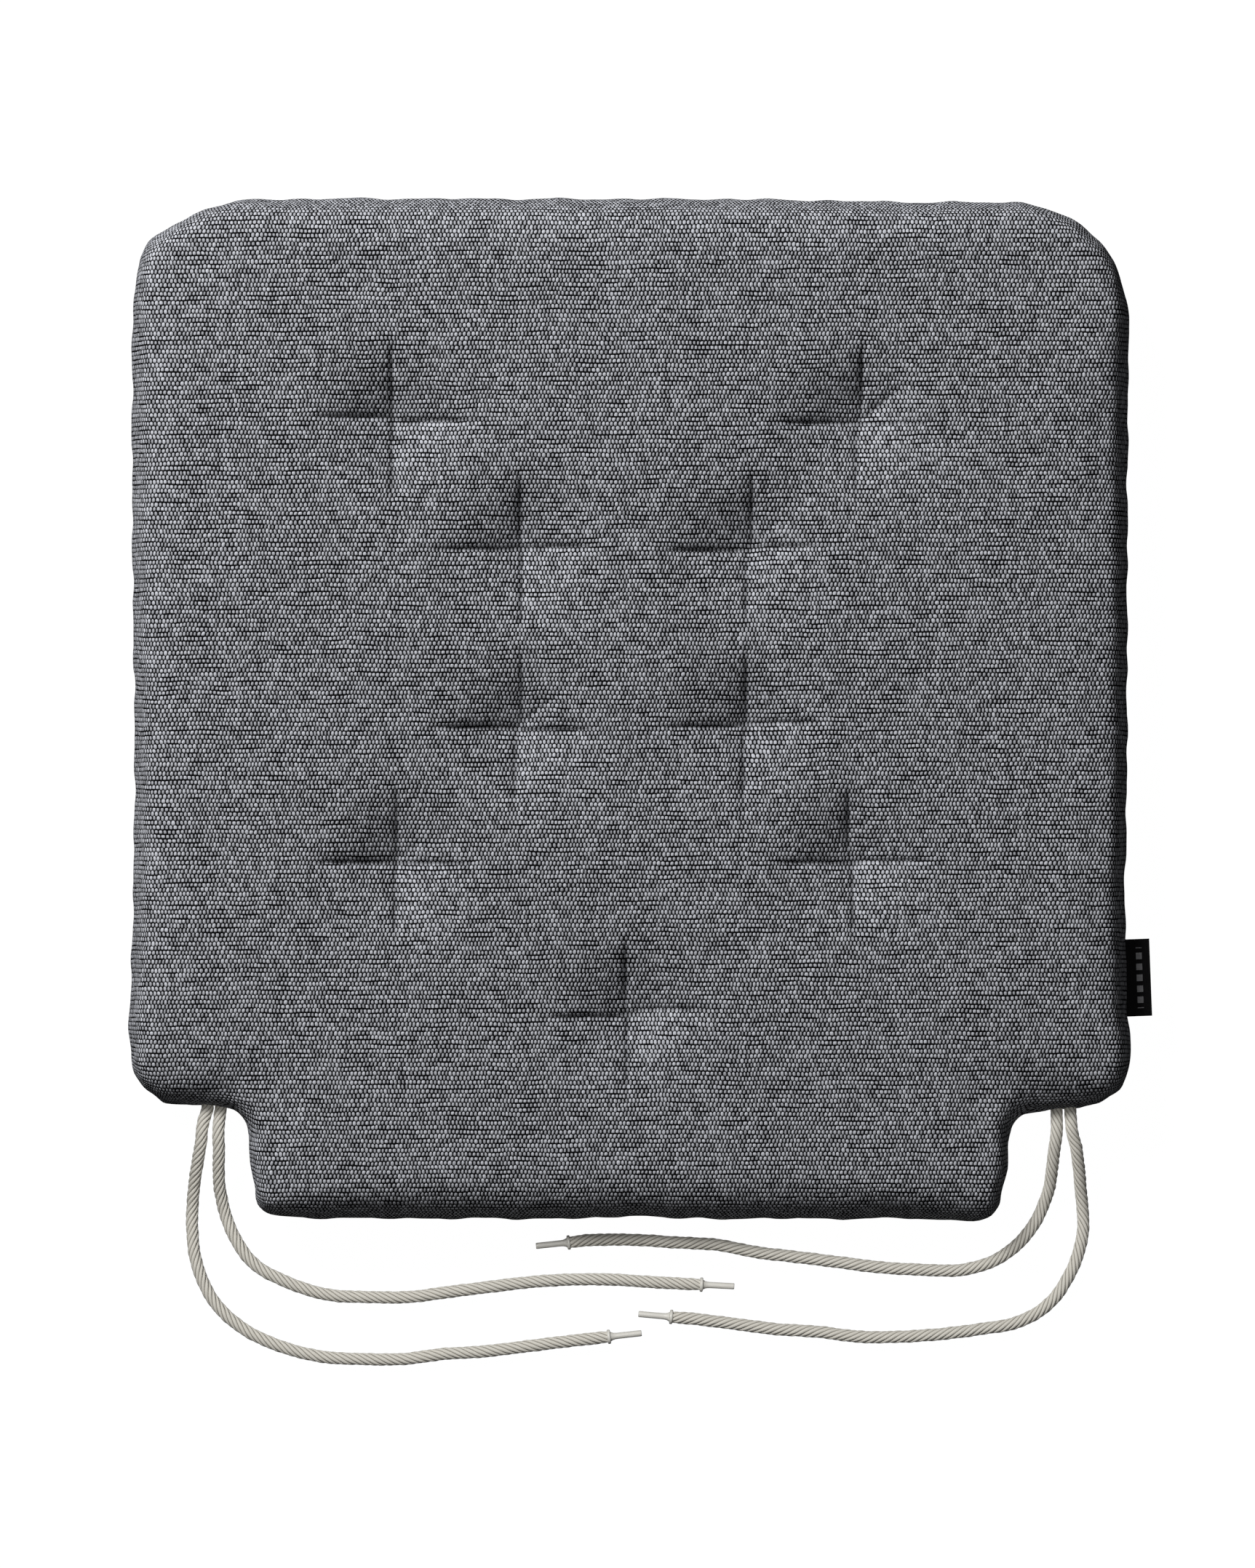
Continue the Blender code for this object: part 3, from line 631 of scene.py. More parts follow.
def swell(piece):
    """Blows the cover up like a stuffed bag, held at the tufts and at the seam."""
    start = places_of(piece)
    held = piece.vertex_groups.new(name="held")
    for i, (x, y, z) in enumerate(start):
        near = min(math.hypot(x - tuft_x, y - tuft_y) for tuft_x, tuft_y in TUFTS)
        hold = TUFT_HOLD * (1.0 if z > SEAM_HEIGHT else UNDER_HOLD)
        if near < hold or abs(z - SEAM_HEIGHT) < VOXEL / 2:
            held.add([i], 1.0, "REPLACE")
    cloth = piece.modifiers.new("swell", "CLOTH")
    cloth.settings.quality = 5
    cloth.settings.mass = 0.3
    cloth.settings.tension_stiffness = 40
    cloth.settings.compression_stiffness = 40
    cloth.settings.shear_stiffness = 20
    cloth.settings.bending_stiffness = 0.5
    cloth.settings.use_pressure = True
    cloth.settings.uniform_pressure_force = 4
    cloth.settings.vertex_group_mass = "held"
    cloth.settings.effector_weights.gravity = 0
    cloth.point_cache.frame_start = 1
    cloth.point_cache.frame_end = PUFF_FRAMES
    for count in range(1, PUFF_FRAMES + 1):
        bpy.context.scene.frame_set(count)
    bpy.ops.object.modifier_apply(modifier="swell")
    bpy.context.scene.frame_set(1)
    moved = places_of(piece) - start
    reach = np.linalg.norm(moved, axis=1)
    moved *= (PUFF_LIMIT * np.tanh(reach / PUFF_LIMIT) / np.maximum(reach, 1e-9))[:, None]
    move_to(piece, start + moved)


def pulled_out(places):
    """Shifts places by the pulls of the sewing. Their third coordinate stays as it is."""
    shift = np.zeros((len(places), 2))
    for x, y, across, along, reach in OUTLINE_PULLS:
        near = np.exp(-((places[:, 0] - x) ** 2 + (places[:, 1] - y) ** 2) / reach**2)
        shift += near[:, None] * np.array((across, along))
    places[:, :2] += shift
    return places


cover = pad_blank()
remesh = cover.modifiers.new("even", "REMESH")
remesh.mode = "VOXEL"
remesh.voxel_size = VOXEL
bpy.ops.object.modifier_apply(modifier="even")
swell(cover)
cover.vertex_groups.clear()
move_to(cover, pulled_out(places_of(cover)))
filling = cover.copy()
filling.data = cover.data.copy()
filling.name = "filling"
bpy.context.scene.collection.objects.link(filling)
rounding = cover.modifiers.new("rounding", "SUBSURF")
rounding.levels = 1
rounding.render_levels = 1
bpy.ops.object.modifier_apply(modifier="rounding")

# Each tuft's folds: its place, then how far the left, right, upper and lower arms of the cross stand
# off its centre and how deep each is, then the depth of the slanting fold up to the right.
FOLDS = (
    (-0.093, 0.116, 0.0006, 1.0, -0.0009, 1.1, -0.0021, 1.0, -0.0021, 1.1, 0.0),
    (0.093, 0.116, -0.0018, 1.35, -0.0020, 0.6, -0.0002, 1.3, -0.0026, 0.8, 1.0),
    (-0.046, 0.065, -0.0013, 0.9, -0.0002, 1.15, 0.0023, 1.05, 0.0025, 1.1, 0.0),
    (0.047, 0.065, -0.0019, 1.2, -0.0001, 0.8, 0.0020, 1.1, -0.0005, 0.9, 0.35),
    (-0.045, -0.007, -0.0007, 1.1, -0.0015, 1.0, 0.0018, 0.95, -0.0010, 0.9, 0.6),
    (0.045, -0.007, -0.0003, 0.85, 0.0016, 1.1, 0.0016, 1.05, 0.0004, 1.0, 0.1),
    (-0.094, -0.061, -0.0006, 0.95, -0.0009, 0.85, 0.0010, 0.95, 0.0001, 0.9, 0.25),
    (0.090, -0.061, -0.0006, 1.1, 0.0003, 0.9, -0.0026, 1.15, -0.0009, 0.9, 0.3),
    (0.000, -0.122, -0.0012, 0.9, 0.0019, 1.0, -0.0015, 1.2, -0.0012, 0.9, 0.25),
)
# How long the arms are, how deep and wide the valleys and the sharp lines in them, where they fade, and
# how wide the painted shade along the sharp lines is.
ARM_LEFT = 0.038
ARM_RIGHT = 0.036
ARM_UP = 0.034
ARM_DOWN = 0.038
ARM_TURN = 0.006
FOLD_DEPTH = 0.0043
FOLD_WIDTH = 0.0118
LINE_DEPTH = 0.0017
LINE_WIDTH = 0.0011
FADE_START = 0.22
LINE_FADE_START = 0.6
DEEPEST = 0.0090
FOLD_SHADOW_WIDTH = 0.0009
TUFT_FLOOR = 0.0268
BOWL_REACH = 0.012
SLANT_START = 0.004
SLANT_REACH = 0.025
SLANT_ANGLE = math.radians(38)
SLANT_DEPTH = 0.0034
SLANT_WIDTH = 0.0050
# The shallower dimples on the underside.
UNDER_DEPTH = 0.0038
UNDER_REACH = 0.010
UNDER_FOLD = 0.0009
UNDER_FOLD_WIDTH = 0.0022
UNDER_ARM = 0.020
PINCH_REACH = 0.060
UNDERSIDE = 0.0002
# The thin corners beside the cords, and the full side along the right.
EAR_FROM = 0.147
EAR_WIDTH = 0.020
EAR_REACH = 0.025
EAR_DROP = 0.0050
FULL_RISE = 0.0026
FULL_INSET = 0.0045
FULL_REACH = 0.0065
# The groove and the small waves along the seam, and the filling's lumps.
SEAM_WIDTH = 0.0016
SEAM_PULL = 0.0011
WAVE_REACH = 0.014
WAVE_HEIGHT = 0.012
LUMP_HEIGHT = 0.0005


def by_slant(dx, dy):
    """How far along a tuft's slanting fold a place lies, and how far to its side."""
    along = dx * math.cos(SLANT_ANGLE) + dy * math.sin(SLANT_ANGLE)
    return along, np.abs(-dx * math.sin(SLANT_ANGLE) + dy * math.cos(SLANT_ANGLE))


def refine(piece, near, far_side):
    """Cuts the faces near the tufts' folds once more, where the cloth bends most sharply."""
    bpy.ops.object.mode_set(mode="EDIT")
    bpy.ops.mesh.select_mode(type="FACE")
    bpy.ops.mesh.select_all(action="DESELECT")
    bpy.ops.object.mode_set(mode="OBJECT")
    centres = np.empty(len(piece.data.polygons) * 3)
    piece.data.polygons.foreach_get("center", centres)
    centres = centres.reshape(-1, 3)
    chosen = np.zeros(len(centres), dtype=bool)
    for x, y, *_, up, _, _, _, slant in FOLDS:
        dx, dy = centres[:, 0] - x, centres[:, 1] - y
        reach = np.hypot(dx, dy)
        cross = np.minimum(np.abs(dx - up / 2), np.abs(dy))
        inside = (reach < far_side) & ((cross < near) | (reach < 2.2 * near))
        if slant > 0:
            along, aside = by_slant(dx, dy)
            inside |= (along > 0) & (along < SLANT_REACH + near) & (aside < near)
        chosen |= inside & (centres[:, 2] > SEAM_HEIGHT)
    piece.data.polygons.foreach_set("select", chosen)
    bpy.ops.object.mode_set(mode="EDIT")
    bpy.ops.mesh.subdivide(number_cuts=1)
    bpy.ops.object.mode_set(mode="OBJECT")


refine(cover, 0.010, 0.040)
refine(cover, 0.0045, 0.037)


def ease(share):
    share = np.clip(share, 0.0, 1.0)
    return share * share * (3 - 2 * share)


def fold_at(aside, out):
    """The depth of one arm's valley and of the sharp line in it, and how strong the painted shade is
    near the line.
    """
    soft = 1 - ease((out - FADE_START) / (1 - FADE_START))
    sharp = 1 - ease((out - LINE_FADE_START) / (1 - LINE_FADE_START))
    valley = FOLD_DEPTH * np.exp(-aside / FOLD_WIDTH) * soft
    depth = valley + LINE_DEPTH * np.exp(-aside / LINE_WIDTH) * sharp
    return depth, np.exp(-((aside / FOLD_SHADOW_WIDTH) ** 2)) * sharp


def sunk_at(dx, dy, arms):
    """How far the cloth sinks beside a tuft, in a cross of four valleys and a slanting one, and how
    strong the painted shade is along their sharp lines.
    """
    left, left_deep, right, right_deep, up, up_deep, down, down_deep, slant = arms
    turn_x = ease(dx / ARM_TURN * 0.5 + 0.5)
    turn_y = ease(dy / ARM_TURN * 0.5 + 0.5)
    line_y = left + (right - left) * turn_x
    line_x = down + (up - down) * turn_y
    deep_x = left_deep + (right_deep - left_deep) * turn_x
    deep_y = down_deep + (up_deep - down_deep) * turn_y
    out_x = np.where(dx > 0, dx / ARM_RIGHT, -dx / ARM_LEFT)
    out_y = np.where(dy > 0, dy / ARM_UP, -dy / ARM_DOWN)
    sunk_x, fold_shadow_x = fold_at(np.abs(dy - line_y), out_x)
    sunk_y, fold_shadow_y = fold_at(np.abs(dx - line_x), out_y)
    sunk = sunk_x * deep_x + sunk_y * deep_y
    fold_shadow = np.maximum(fold_shadow_x * np.minimum(deep_x, 1.0), fold_shadow_y * np.minimum(deep_y, 1.0))
    if slant > 0:
        along, aside = by_slant(dx, dy)
        fade = slant * (1 - ease(along / SLANT_REACH)) * ease(along / SLANT_START + 0.5)
        line = LINE_DEPTH * np.exp(-aside / LINE_WIDTH)
        sunk = sunk + fade * (SLANT_DEPTH * np.exp(-aside / SLANT_WIDTH) + line)
        fold_shadow = np.maximum(fold_shadow, fade * np.exp(-((aside / FOLD_SHADOW_WIDTH) ** 2)))
    return sunk / (1 + (sunk / DEEPEST) ** 4) ** 0.25, fold_shadow


def pinched(x, y, z, upper, floor):
    """Heights of the cloth or filling when the tufts pinch it from both sides, and the painted shade
    along its fold lines.
    """
    fold_shadows = np.zeros(len(x))
    for place_x, place_y, *arms in FOLDS:
        dx, dy = x - place_x, y - place_y
        reach = np.hypot(dx, dy)
        centre = np.argmin(np.where(upper, reach, 9.0))
        zero = np.array([0.0])
        bowl = max(0.0, z[centre] - floor - float(sunk_at(zero, zero, arms)[0][0]))
        sunk, fold_shadow = sunk_at(dx, dy, arms)
        sunk = sunk + bowl * np.exp(-((reach / BOWL_REACH) ** 2))
        under = UNDER_DEPTH * np.exp(-((reach / UNDER_REACH) ** 1.5))
        cross = np.minimum(np.abs(dx), np.abs(dy))
        under += UNDER_FOLD * np.exp(-cross / UNDER_FOLD_WIDTH) * (1 - ease(reach / UNDER_ARM))
        near = reach < PINCH_REACH
        z = np.where(near & upper, z - sunk, z)
        z = np.where(near & ~upper, z + under, z)
        fold_shadows = np.where(near & upper, np.maximum(fold_shadows, fold_shadow), fold_shadows)
    return z, fold_shadows


def uneven_fill(x, y, z, inset, out_x):
    """How far the upper side rises where the filling is full, on the right, and drops by the cords."""
    high = np.clip((z - SEAM_HEIGHT) / (PAD_HEIGHT - SEAM_HEIGHT), 0.0, 1.0)
    behind = np.clip(1 - (y - STEP_Y) / EAR_REACH, 0.0, 1.0)
    thin = ease((np.abs(x) - EAR_FROM) / EAR_WIDTH) * behind**2
    full = ease((out_x - 0.2) / 0.6) * np.exp(-(((inset - FULL_INSET) / FULL_REACH) ** 2))
    return high * (FULL_RISE * full * (1 - thin) - EAR_DROP * thin)


places = places_of(cover)
upper = places[:, 2] > SEAM_HEIGHT
x, y, z = places[:, 0].copy(), places[:, 1].copy(), places[:, 2].copy()
EDGE_STEP = 0.001
edge_points = []
loop = pad_outline(0.0)
for (ax, ay), (bx, by) in zip(loop, loop[1:] + loop[:1]):
    count = max(1, round(math.hypot(bx - ax, by - ay) / EDGE_STEP))
    edge_points += [(ax + (bx - ax) * i / count, ay + (by - ay) * i / count) for i in range(count)]
edge_points = pulled_out(np.array(edge_points))
ahead = np.roll(edge_points, -3, axis=0) - np.roll(edge_points, 3, axis=0)
edge_out = np.stack((-ahead[:, 1], ahead[:, 0]), axis=1)
edge_out /= np.linalg.norm(edge_out, axis=1)[:, None]
edge_tree = kdtree.KDTree(len(edge_points))
for i, (ex, ey) in enumerate(edge_points):
    edge_tree.insert((ex, ey, 0.0), i)
edge_tree.balance()


def by_edge(places):
    """The edge point nearest to each place, and how far inside the outline the place lies."""
    nearest = np.array([edge_tree.find((px, py, 0.0))[1] for px, py, _ in places])
    inset = -((places[:, :2] - edge_points[nearest]) * edge_out[nearest]).sum(axis=1)
    return nearest, inset


nearest, inset = by_edge(places)
out = edge_out[nearest]
edge_run = nearest * EDGE_STEP

# Small waves along the seam, where the cut edge of the filling shows through the cloth: each one's
# height and length, where it starts, and how far and how often it strays.
WAVES = (
    (0.00030, 0.0235, 0.0, 1.3, 31),
    (0.00022, 0.0410, 2.0, 0.0, 0),
    (0.00014, 0.0131, 0.0, 0.8, 47),
)
side_share = np.exp(-(np.maximum(inset, 0.0) / WAVE_REACH) ** 2)
wave = side_share * sum(
    height * np.sin(edge_run * 2 * math.pi / length + start + stray * np.sin(edge_run * often))
    for height, length, start, stray, often in WAVES
)
round_side = np.exp(-np.abs(z - SEAM_HEIGHT) / WAVE_HEIGHT)
x = x + out[:, 0] * wave * (0.4 + 0.6 * round_side)
y = y + out[:, 1] * wave * (0.4 + 0.6 * round_side)

# Faint rises and hollows of the filling, then the folds at each tuft.
rise = np.array([noise.noise((px * 22, py * 22, 3.7)) for px, py in zip(x, y)])
rise += 0.5 * np.array([noise.noise((px * 55, py * 55, 9.1)) for px, py in zip(x, y)])
z = np.where(upper, z + LUMP_HEIGHT * rise, z)
z = z + uneven_fill(x, y, z, inset, out[:, 0])
z, fold_shadows = pinched(x, y, np.maximum(z, UNDERSIDE), upper, TUFT_FLOOR)
move_to(cover, np.stack((x, y, z), axis=1))
# The painted shade along the fold lines is kept on the cloth, so that its material darkens the colour
# there.
fold_shadow_paint = cover.data.attributes.new("fold_shadow", "FLOAT", "POINT")
fold_shadow_paint.data.foreach_set("value", fold_shadows.astype(np.float32))

SEAM_CUTS = (-0.0035, -0.0018, -0.0008, 0.0008, 0.0018, 0.0035)
# The edge of the cloth turned in at the seam: how far in and how far up each fold of it goes.
TURNED_IN = ((0.0008, 0.00010), (0.0055, 0.0006))
GATHER_PITCH = 0.0068
GATHER_INSET = 0.004


def halve(source, name, keep_top):
    """One of the two panels: the cover above or below the seam, its edge turned in at the seam."""
    shape = bmesh.new()
    shape.from_mesh(source.data)
    for offset in SEAM_CUTS + (0.0,):
        bmesh.ops.bisect_plane(
            shape,
            geom=list(shape.verts) + list(shape.edges) + list(shape.faces),
            plane_co=(0, 0, SEAM_HEIGHT + offset),
            plane_no=(0, 0, 1),
            dist=0.00012,
            clear_inner=keep_top and offset == 0.0,
            clear_outer=not keep_top and offset == 0.0,
        )
    rim = [edge for edge in shape.edges if edge.is_boundary]
    side = 1 if keep_top else -1
    for sideways, upward in TURNED_IN:
        grown = bmesh.ops.extrude_edge_only(shape, edges=rim)["geom"]
        rim = [item for item in grown if isinstance(item, bmesh.types.BMEdge) and item.is_boundary]
        for vert in {vert for edge in rim for vert in edge.verts}:
            i = edge_tree.find((vert.co.x, vert.co.y, 0.0))[1]
            vert.co.x -= edge_out[i][0] * sideways
            vert.co.y -= edge_out[i][1] * sideways
            vert.co.z += side * upward
    return add_mesh_object(name, shape)


def draw_in(piece):
    """Pulls the cloth in a little at the seam, so that a fine groove runs round the pad."""
    places = places_of(piece)
    nearest, inset = by_edge(places)
    gather = 0.75 + 0.25 * np.sin(nearest * EDGE_STEP * 2 * math.pi / GATHER_PITCH)
    pull = SEAM_PULL * gather * np.exp(-np.abs(places[:, 2] - SEAM_HEIGHT) / SEAM_WIDTH)
    pull *= np.exp(-((np.maximum(inset, 0.0) / GATHER_INSET) ** 2))
    places[:, :2] -= edge_out[nearest] * pull[:, None]
    move_to(piece, places)


ARC_TABLE = np.linspace(0.0, math.pi / 2, 60)


def lay_cloth_map(piece, height):
    """Where each point of a panel was on the flat cloth before it was bent over the side."""
    run = np.hypot(EDGE_INSET * np.diff(np.cos(ARC_TABLE)), height * np.diff(np.sin(ARC_TABLE)))
    from_seam = np.concatenate(([0.0], np.cumsum(run)))
    places = places_of(piece)
    nearest, inset = by_edge(places)
    inset = np.clip(inset, 0.0, EDGE_INSET)
    rise = np.clip(np.abs(places[:, 2] - SEAM_HEIGHT) / height, 0.0, 1.0)
    turn = np.arctan2(rise, 1 - inset / EDGE_INSET)
    bent = from_seam[-1] - np.interp(turn, ARC_TABLE, from_seam)
    spare = np.where(inset < EDGE_INSET, bent - (EDGE_INSET - inset), 0.0)
    flat = places[:, :2] + edge_out[nearest] * np.maximum(spare, 0.0)[:, None]
    corners = np.empty(len(piece.data.loops), dtype=np.int32)
    piece.data.loops.foreach_get("vertex_index", corners)
    cloth_map = piece.data.uv_layers.new(name="cloth")
    cloth_map.data.foreach_set("uv", flat[corners].astype(np.float32).ravel())


# Cover cloth: a heavy mixed grey weave. Short pale floats stand in staggered rows over a nearly black
# ground, each of its own shade, and the rows part here and there in a thin dark line.
FLOAT_PITCH = 0.00156
ROW_PITCH = 0.00179
# Half a float's width and height in parts of the pitch, and how much more some have.
FLOAT_HALF_WIDTH = 0.34
FLOAT_SPARE_WIDTH = 0.12
FLOAT_HALF_HEIGHT = 0.50
FLOAT_SPARE_HEIGHT = 0.14
# How far the painted shade darkens the cloth's colour along the tuft fold lines.
FOLD_SHADOW_DARKNESS = 0.48
SMOOTH = {"interpolation_type": "SMOOTHSTEP"}

one_float, given = new_group(
    "one_float",
    [("Across", "Float", 0.0), ("Row", "Float", 0.0), ("From middle", "Float", 0.0)],
    [("Height", "Float"), ("Tone", "Float")],
)
odd = sums(one_float, "FLOORED_MODULO", given.outputs["Row"], 2.0)
moved = sums(one_float, "ADD", given.outputs["Across"], sums(one_float, "MULTIPLY", odd, 0.5))
pulled_at = place_of(
    one_float,
    sums(one_float, "MULTIPLY", given.outputs["Across"], 0.07),
    sums(one_float, "MULTIPLY", given.outputs["Row"], 0.77),
)
moved = sums(one_float, "MULTIPLY_ADD", speckle(one_float, pulled_at, 1.0), 0.6, moved)
cell = sums(one_float, "FLOOR", moved)
aside = sums(one_float, "SUBTRACT", sums(one_float, "SUBTRACT", moved, cell), 0.5)
own = place_of(one_float, cell, given.outputs["Row"])
chance = wire(one_float, "ShaderNodeTexWhiteNoise", {"Vector": own})
tints = wire(one_float, "ShaderNodeSeparateColor", {0: chance.outputs["Color"]})
wide = sums(one_float, "MULTIPLY_ADD", tints.outputs[0], FLOAT_SPARE_WIDTH, FLOAT_HALF_WIDTH)
tall = sums(one_float, "MULTIPLY_ADD", tints.outputs[1], FLOAT_SPARE_HEIGHT, FLOAT_HALF_HEIGHT)
across = sums(one_float, "ABSOLUTE", sums(one_float, "DIVIDE", aside, wide))
across = sums(one_float, "POWER", across, 2.4)
upright = sums(one_float, "ABSOLUTE", sums(one_float, "DIVIDE", given.outputs["From middle"], tall))
upright = sums(one_float, "POWER", upright, 2.2)
height = sums(one_float, "SUBTRACT", 1.0, sums(one_float, "ADD", across, upright))
wire(one_float, "NodeGroupOutput", {0: height, 1: chance.outputs["Value"]})

weave, given = new_group(
    "woven_floats",
    [
        ("Place", "Vector", (0.0, 0.0, 0.0)),
        ("Pitch", "Vector", (1.0, 1.0, 1.0)),
        ("Ease", "Float", 0.35),
    ],
    [("Height", "Float"), ("Cover", "Float"), ("Tone", "Float"), ("Cloud", "Float")],
)
drift = wire(
    weave, "ShaderNodeTexNoise", {"Vector": given.outputs["Place"], "Scale": 60.0, "Detail": 3.0}
)
drift = wire(
    weave,
    "ShaderNodeVectorMath",
    {0: drift.outputs["Color"], 1: (0.5, 0.5, 0.5)},
    operation="SUBTRACT",
)
cells = wire(
    weave,
    "ShaderNodeVectorMath",
    {0: given.outputs["Place"], 1: given.outputs["Pitch"]},
    operation="DIVIDE",
)
shifted = wire(
    weave,
    "ShaderNodeVectorMath",
    {0: drift.outputs[0], 1: (2.2, 0.9, 0.0), 2: cells.outputs[0]},
    operation="MULTIPLY_ADD",
)
axes = wire(weave, "ShaderNodeSeparateXYZ", {0: shifted.outputs[0]})
across, upward = axes.outputs[0], axes.outputs[1]
row = sums(weave, "FLOOR", upward)
from_middle = sums(weave, "SUBTRACT", sums(weave, "SUBTRACT", upward, row), 0.5)
next_row = sums(weave, "ADD", row, sums(weave, "SIGN", from_middle))
far_middle = sums(weave, "SUBTRACT", 1.0, sums(weave, "ABSOLUTE", from_middle))
own, other = (
    wire(
        weave,
        "ShaderNodeGroup",
        {"Across": across, "Row": in_row, "From middle": off_middle},
        node_tree=one_float,
    )
    for in_row, off_middle in ((row, from_middle), (next_row, far_middle))
)
over = sums(weave, "GREATER_THAN", other.outputs[0], own.outputs[0])
height = sums(weave, "MAXIMUM", own.outputs[0], other.outputs[0])
tone = wire(
    weave, "ShaderNodeMix", {0: over, 2: own.outputs[1], 3: other.outputs[1]}, data_type="FLOAT"
).outputs[0]
between = sums(weave, "ROUND", upward)
strip = place_of(
    weave, sums(weave, "MULTIPLY", across, 0.14), sums(weave, "MULTIPLY", between, 3.71)
)
parting = ranged(weave, speckle(weave, strip, 1.0, 1.0), 0.52, 0.72, 0.07, 0.9, **SMOOTH)
to_gap = sums(weave, "SUBTRACT", 0.5, sums(weave, "ABSOLUTE", from_middle))
gap_line = ranged(weave, to_gap, 0.07, 0.22, 1.0, 0.0, **SMOOTH)
height = sums(weave, "SUBTRACT", height, sums(weave, "MULTIPLY", parting, gap_line))
covered = ranged(weave, height, high=given.outputs["Ease"], **SMOOTH)
yarn_strip = place_of(
    weave, sums(weave, "MULTIPLY", across, 0.22), sums(weave, "MULTIPLY", row, 1.37)
)
cloud = speckle(weave, yarn_strip, 1.0)
wire(
    weave,
    "NodeGroupOutput",
    {0: sums(weave, "MAXIMUM", height, 0.0), 1: covered, 2: tone, 3: cloud},
)

cover_cloth, tree, shader = new_finish("cover_cloth", 0.92, **{"Specular IOR Level": 0.06})
laid = wire(tree, "ShaderNodeUVMap", uv_map="cloth")
woven = wire(
    tree,
    "ShaderNodeGroup",
    {"Place": laid.outputs[0], "Pitch": (FLOAT_PITCH, ROW_PITCH, 1.0), "Ease": 0.6},
    node_tree=weave,
)
mixed_tone = sums(tree, "MULTIPLY_ADD", woven.outputs["Cloud"], 0.3, -0.15)
mixed_tone = sums(tree, "ADD", woven.outputs["Tone"], mixed_tone)
shades = wire(tree, "ShaderNodeValToRGB", {0: mixed_tone})
ramp = shades.color_ramp
for spot, level in ((0.0, 0.25), (0.25, 0.31), (0.5, 0.345), (0.75, 0.38), (1.0, 0.43)):
    stop = ramp.elements.new(spot) if 0 < spot < 1 else ramp.elements[0 if spot == 0 else -1]
    stop.color = (level * 0.965, level * 0.985, level * 1.06, 1)
fuzz = speckle(tree, laid.outputs[0], 2600.0)
fuzzy = ranged(tree, fuzz, start=0.6, end=1.4)
tinted = wire(tree, "ShaderNodeVectorMath", {0: shades.outputs[0], 3: fuzzy}, operation="SCALE")
colour = blend_colour(tree, woven.outputs["Cover"], (0.002, 0.002, 0.0025, 1), tinted.outputs[0])
# Painted shade: along the fold lines the cloth is darkened towards near black, standing for the shadow
# in the folds.
fold_shadow = wire(tree, "ShaderNodeAttribute", attribute_name="fold_shadow").outputs["Fac"]
fold_shadow_share = sums(tree, "MULTIPLY", fold_shadow, FOLD_SHADOW_DARKNESS)
colour = blend_colour(tree, fold_shadow_share, colour, (0.006, 0.006, 0.007, 1))
relief = sums(tree, "MULTIPLY_ADD", fuzz, 0.12, woven.outputs["Height"])
feed(tree, shader, colour, relief, 0.0003)

for name, node, high in (
    ("cover_top", "top_panel", PAD_HEIGHT - SEAM_HEIGHT),
    ("cover_bottom", "bottom_panel", SEAM_HEIGHT),
):
    panel = halve(cover, name, node == "top_panel")
    draw_in(panel)
    lay_cloth_map(panel, high)
    bpy.ops.object.shade_smooth()
    panel.data.materials.clear()
    panel.data.materials.append(cover_cloth)
    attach(panel, "root")
    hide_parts(node)
bpy.data.objects.remove(cover)


# Filling. A pad of soft cream foam under the cloth, cut to the pad's shape and pinched by the tufts.
FILLING_DEEPER = 0.0022
PINCH_DEEPER = 0.0060

inward = np.empty(len(filling.data.vertices) * 3)
filling.data.vertices.foreach_get("normal", inward)
places = places_of(filling) - inward.reshape(-1, 3) * FILLING_DEEPER
upper = places[:, 2] > SEAM_HEIGHT
places[:, 2] += uneven_fill(places[:, 0], places[:, 1], places[:, 2], 1.0, 0.0)
places[:, 2] = np.maximum(places[:, 2], UNDERSIDE + FILLING_DEEPER)
places[:, 2] = pinched(*places.T, upper, TUFT_FLOOR - PINCH_DEEPER)[0]
move_to(filling, places)

foam, tree, shader = new_finish("foam", 0.9, **{"Specular IOR Level": 0.15})
place = wire(tree, "ShaderNodeTexCoord").outputs["Object"]
pores = wire(tree, "ShaderNodeTexVoronoi", {"Vector": place, "Scale": 900.0})
age = speckle(tree, place, 40.0, 3.0)
colour = blend_colour(tree, age, (0.60, 0.54, 0.36, 1), (0.78, 0.74, 0.58, 1))
# Painted shade: each pore is darkened towards dark brown, standing for the shadow inside it.
pore_shade = ranged(tree, pores.outputs[0], high=0.5)
colour = blend_colour(tree, pore_shade, (0.30, 0.26, 0.16, 1), colour)
feed(tree, shader, colour, pores.outputs[0], 0.0005)
pick(filling)
bpy.ops.object.shade_smooth()
filling.data.materials.clear()
filling.data.materials.append(foam)
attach(filling, "root")
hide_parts("filling_core")


# Thread. Dark grey sewing thread, two plies twisted together: a tight loop at each tuft, through the
# whole pad and back, the row of thread that closes the seam, and the bar tack over each cord pair.
THREAD_RADIUS = 0.0005
THREAD_LIFT = 0.0005
TOP_HOLLOW = 0.009
UNDER_HOLLOW = 0.004
TUFT_SPAN = 0.005
THREAD_SPACING = 0.0004
THREAD_PITCH = 0.0034
# Where the loop's two ends meet, below its middle.
LOOP_START = 0.0002
LOOP_END = 0.0012

dark_thread, tree, shader = new_finish("dark_thread", 0.6, **{"Specular IOR Level": 0.3})
place = wire(tree, "ShaderNodeTexCoord").outputs["Object"]
lint = speckle(tree, place, 3200.0, 3.0)
dark = blend_colour(
    tree, speckle(tree, place, 420.0), (0.004, 0.004, 0.005, 1), (0.016, 0.016, 0.018, 1)
)
colour = blend_colour(tree, lint, dark, (0.040, 0.040, 0.044, 1))
feed(tree, shader, colour, lint, 0.0001)

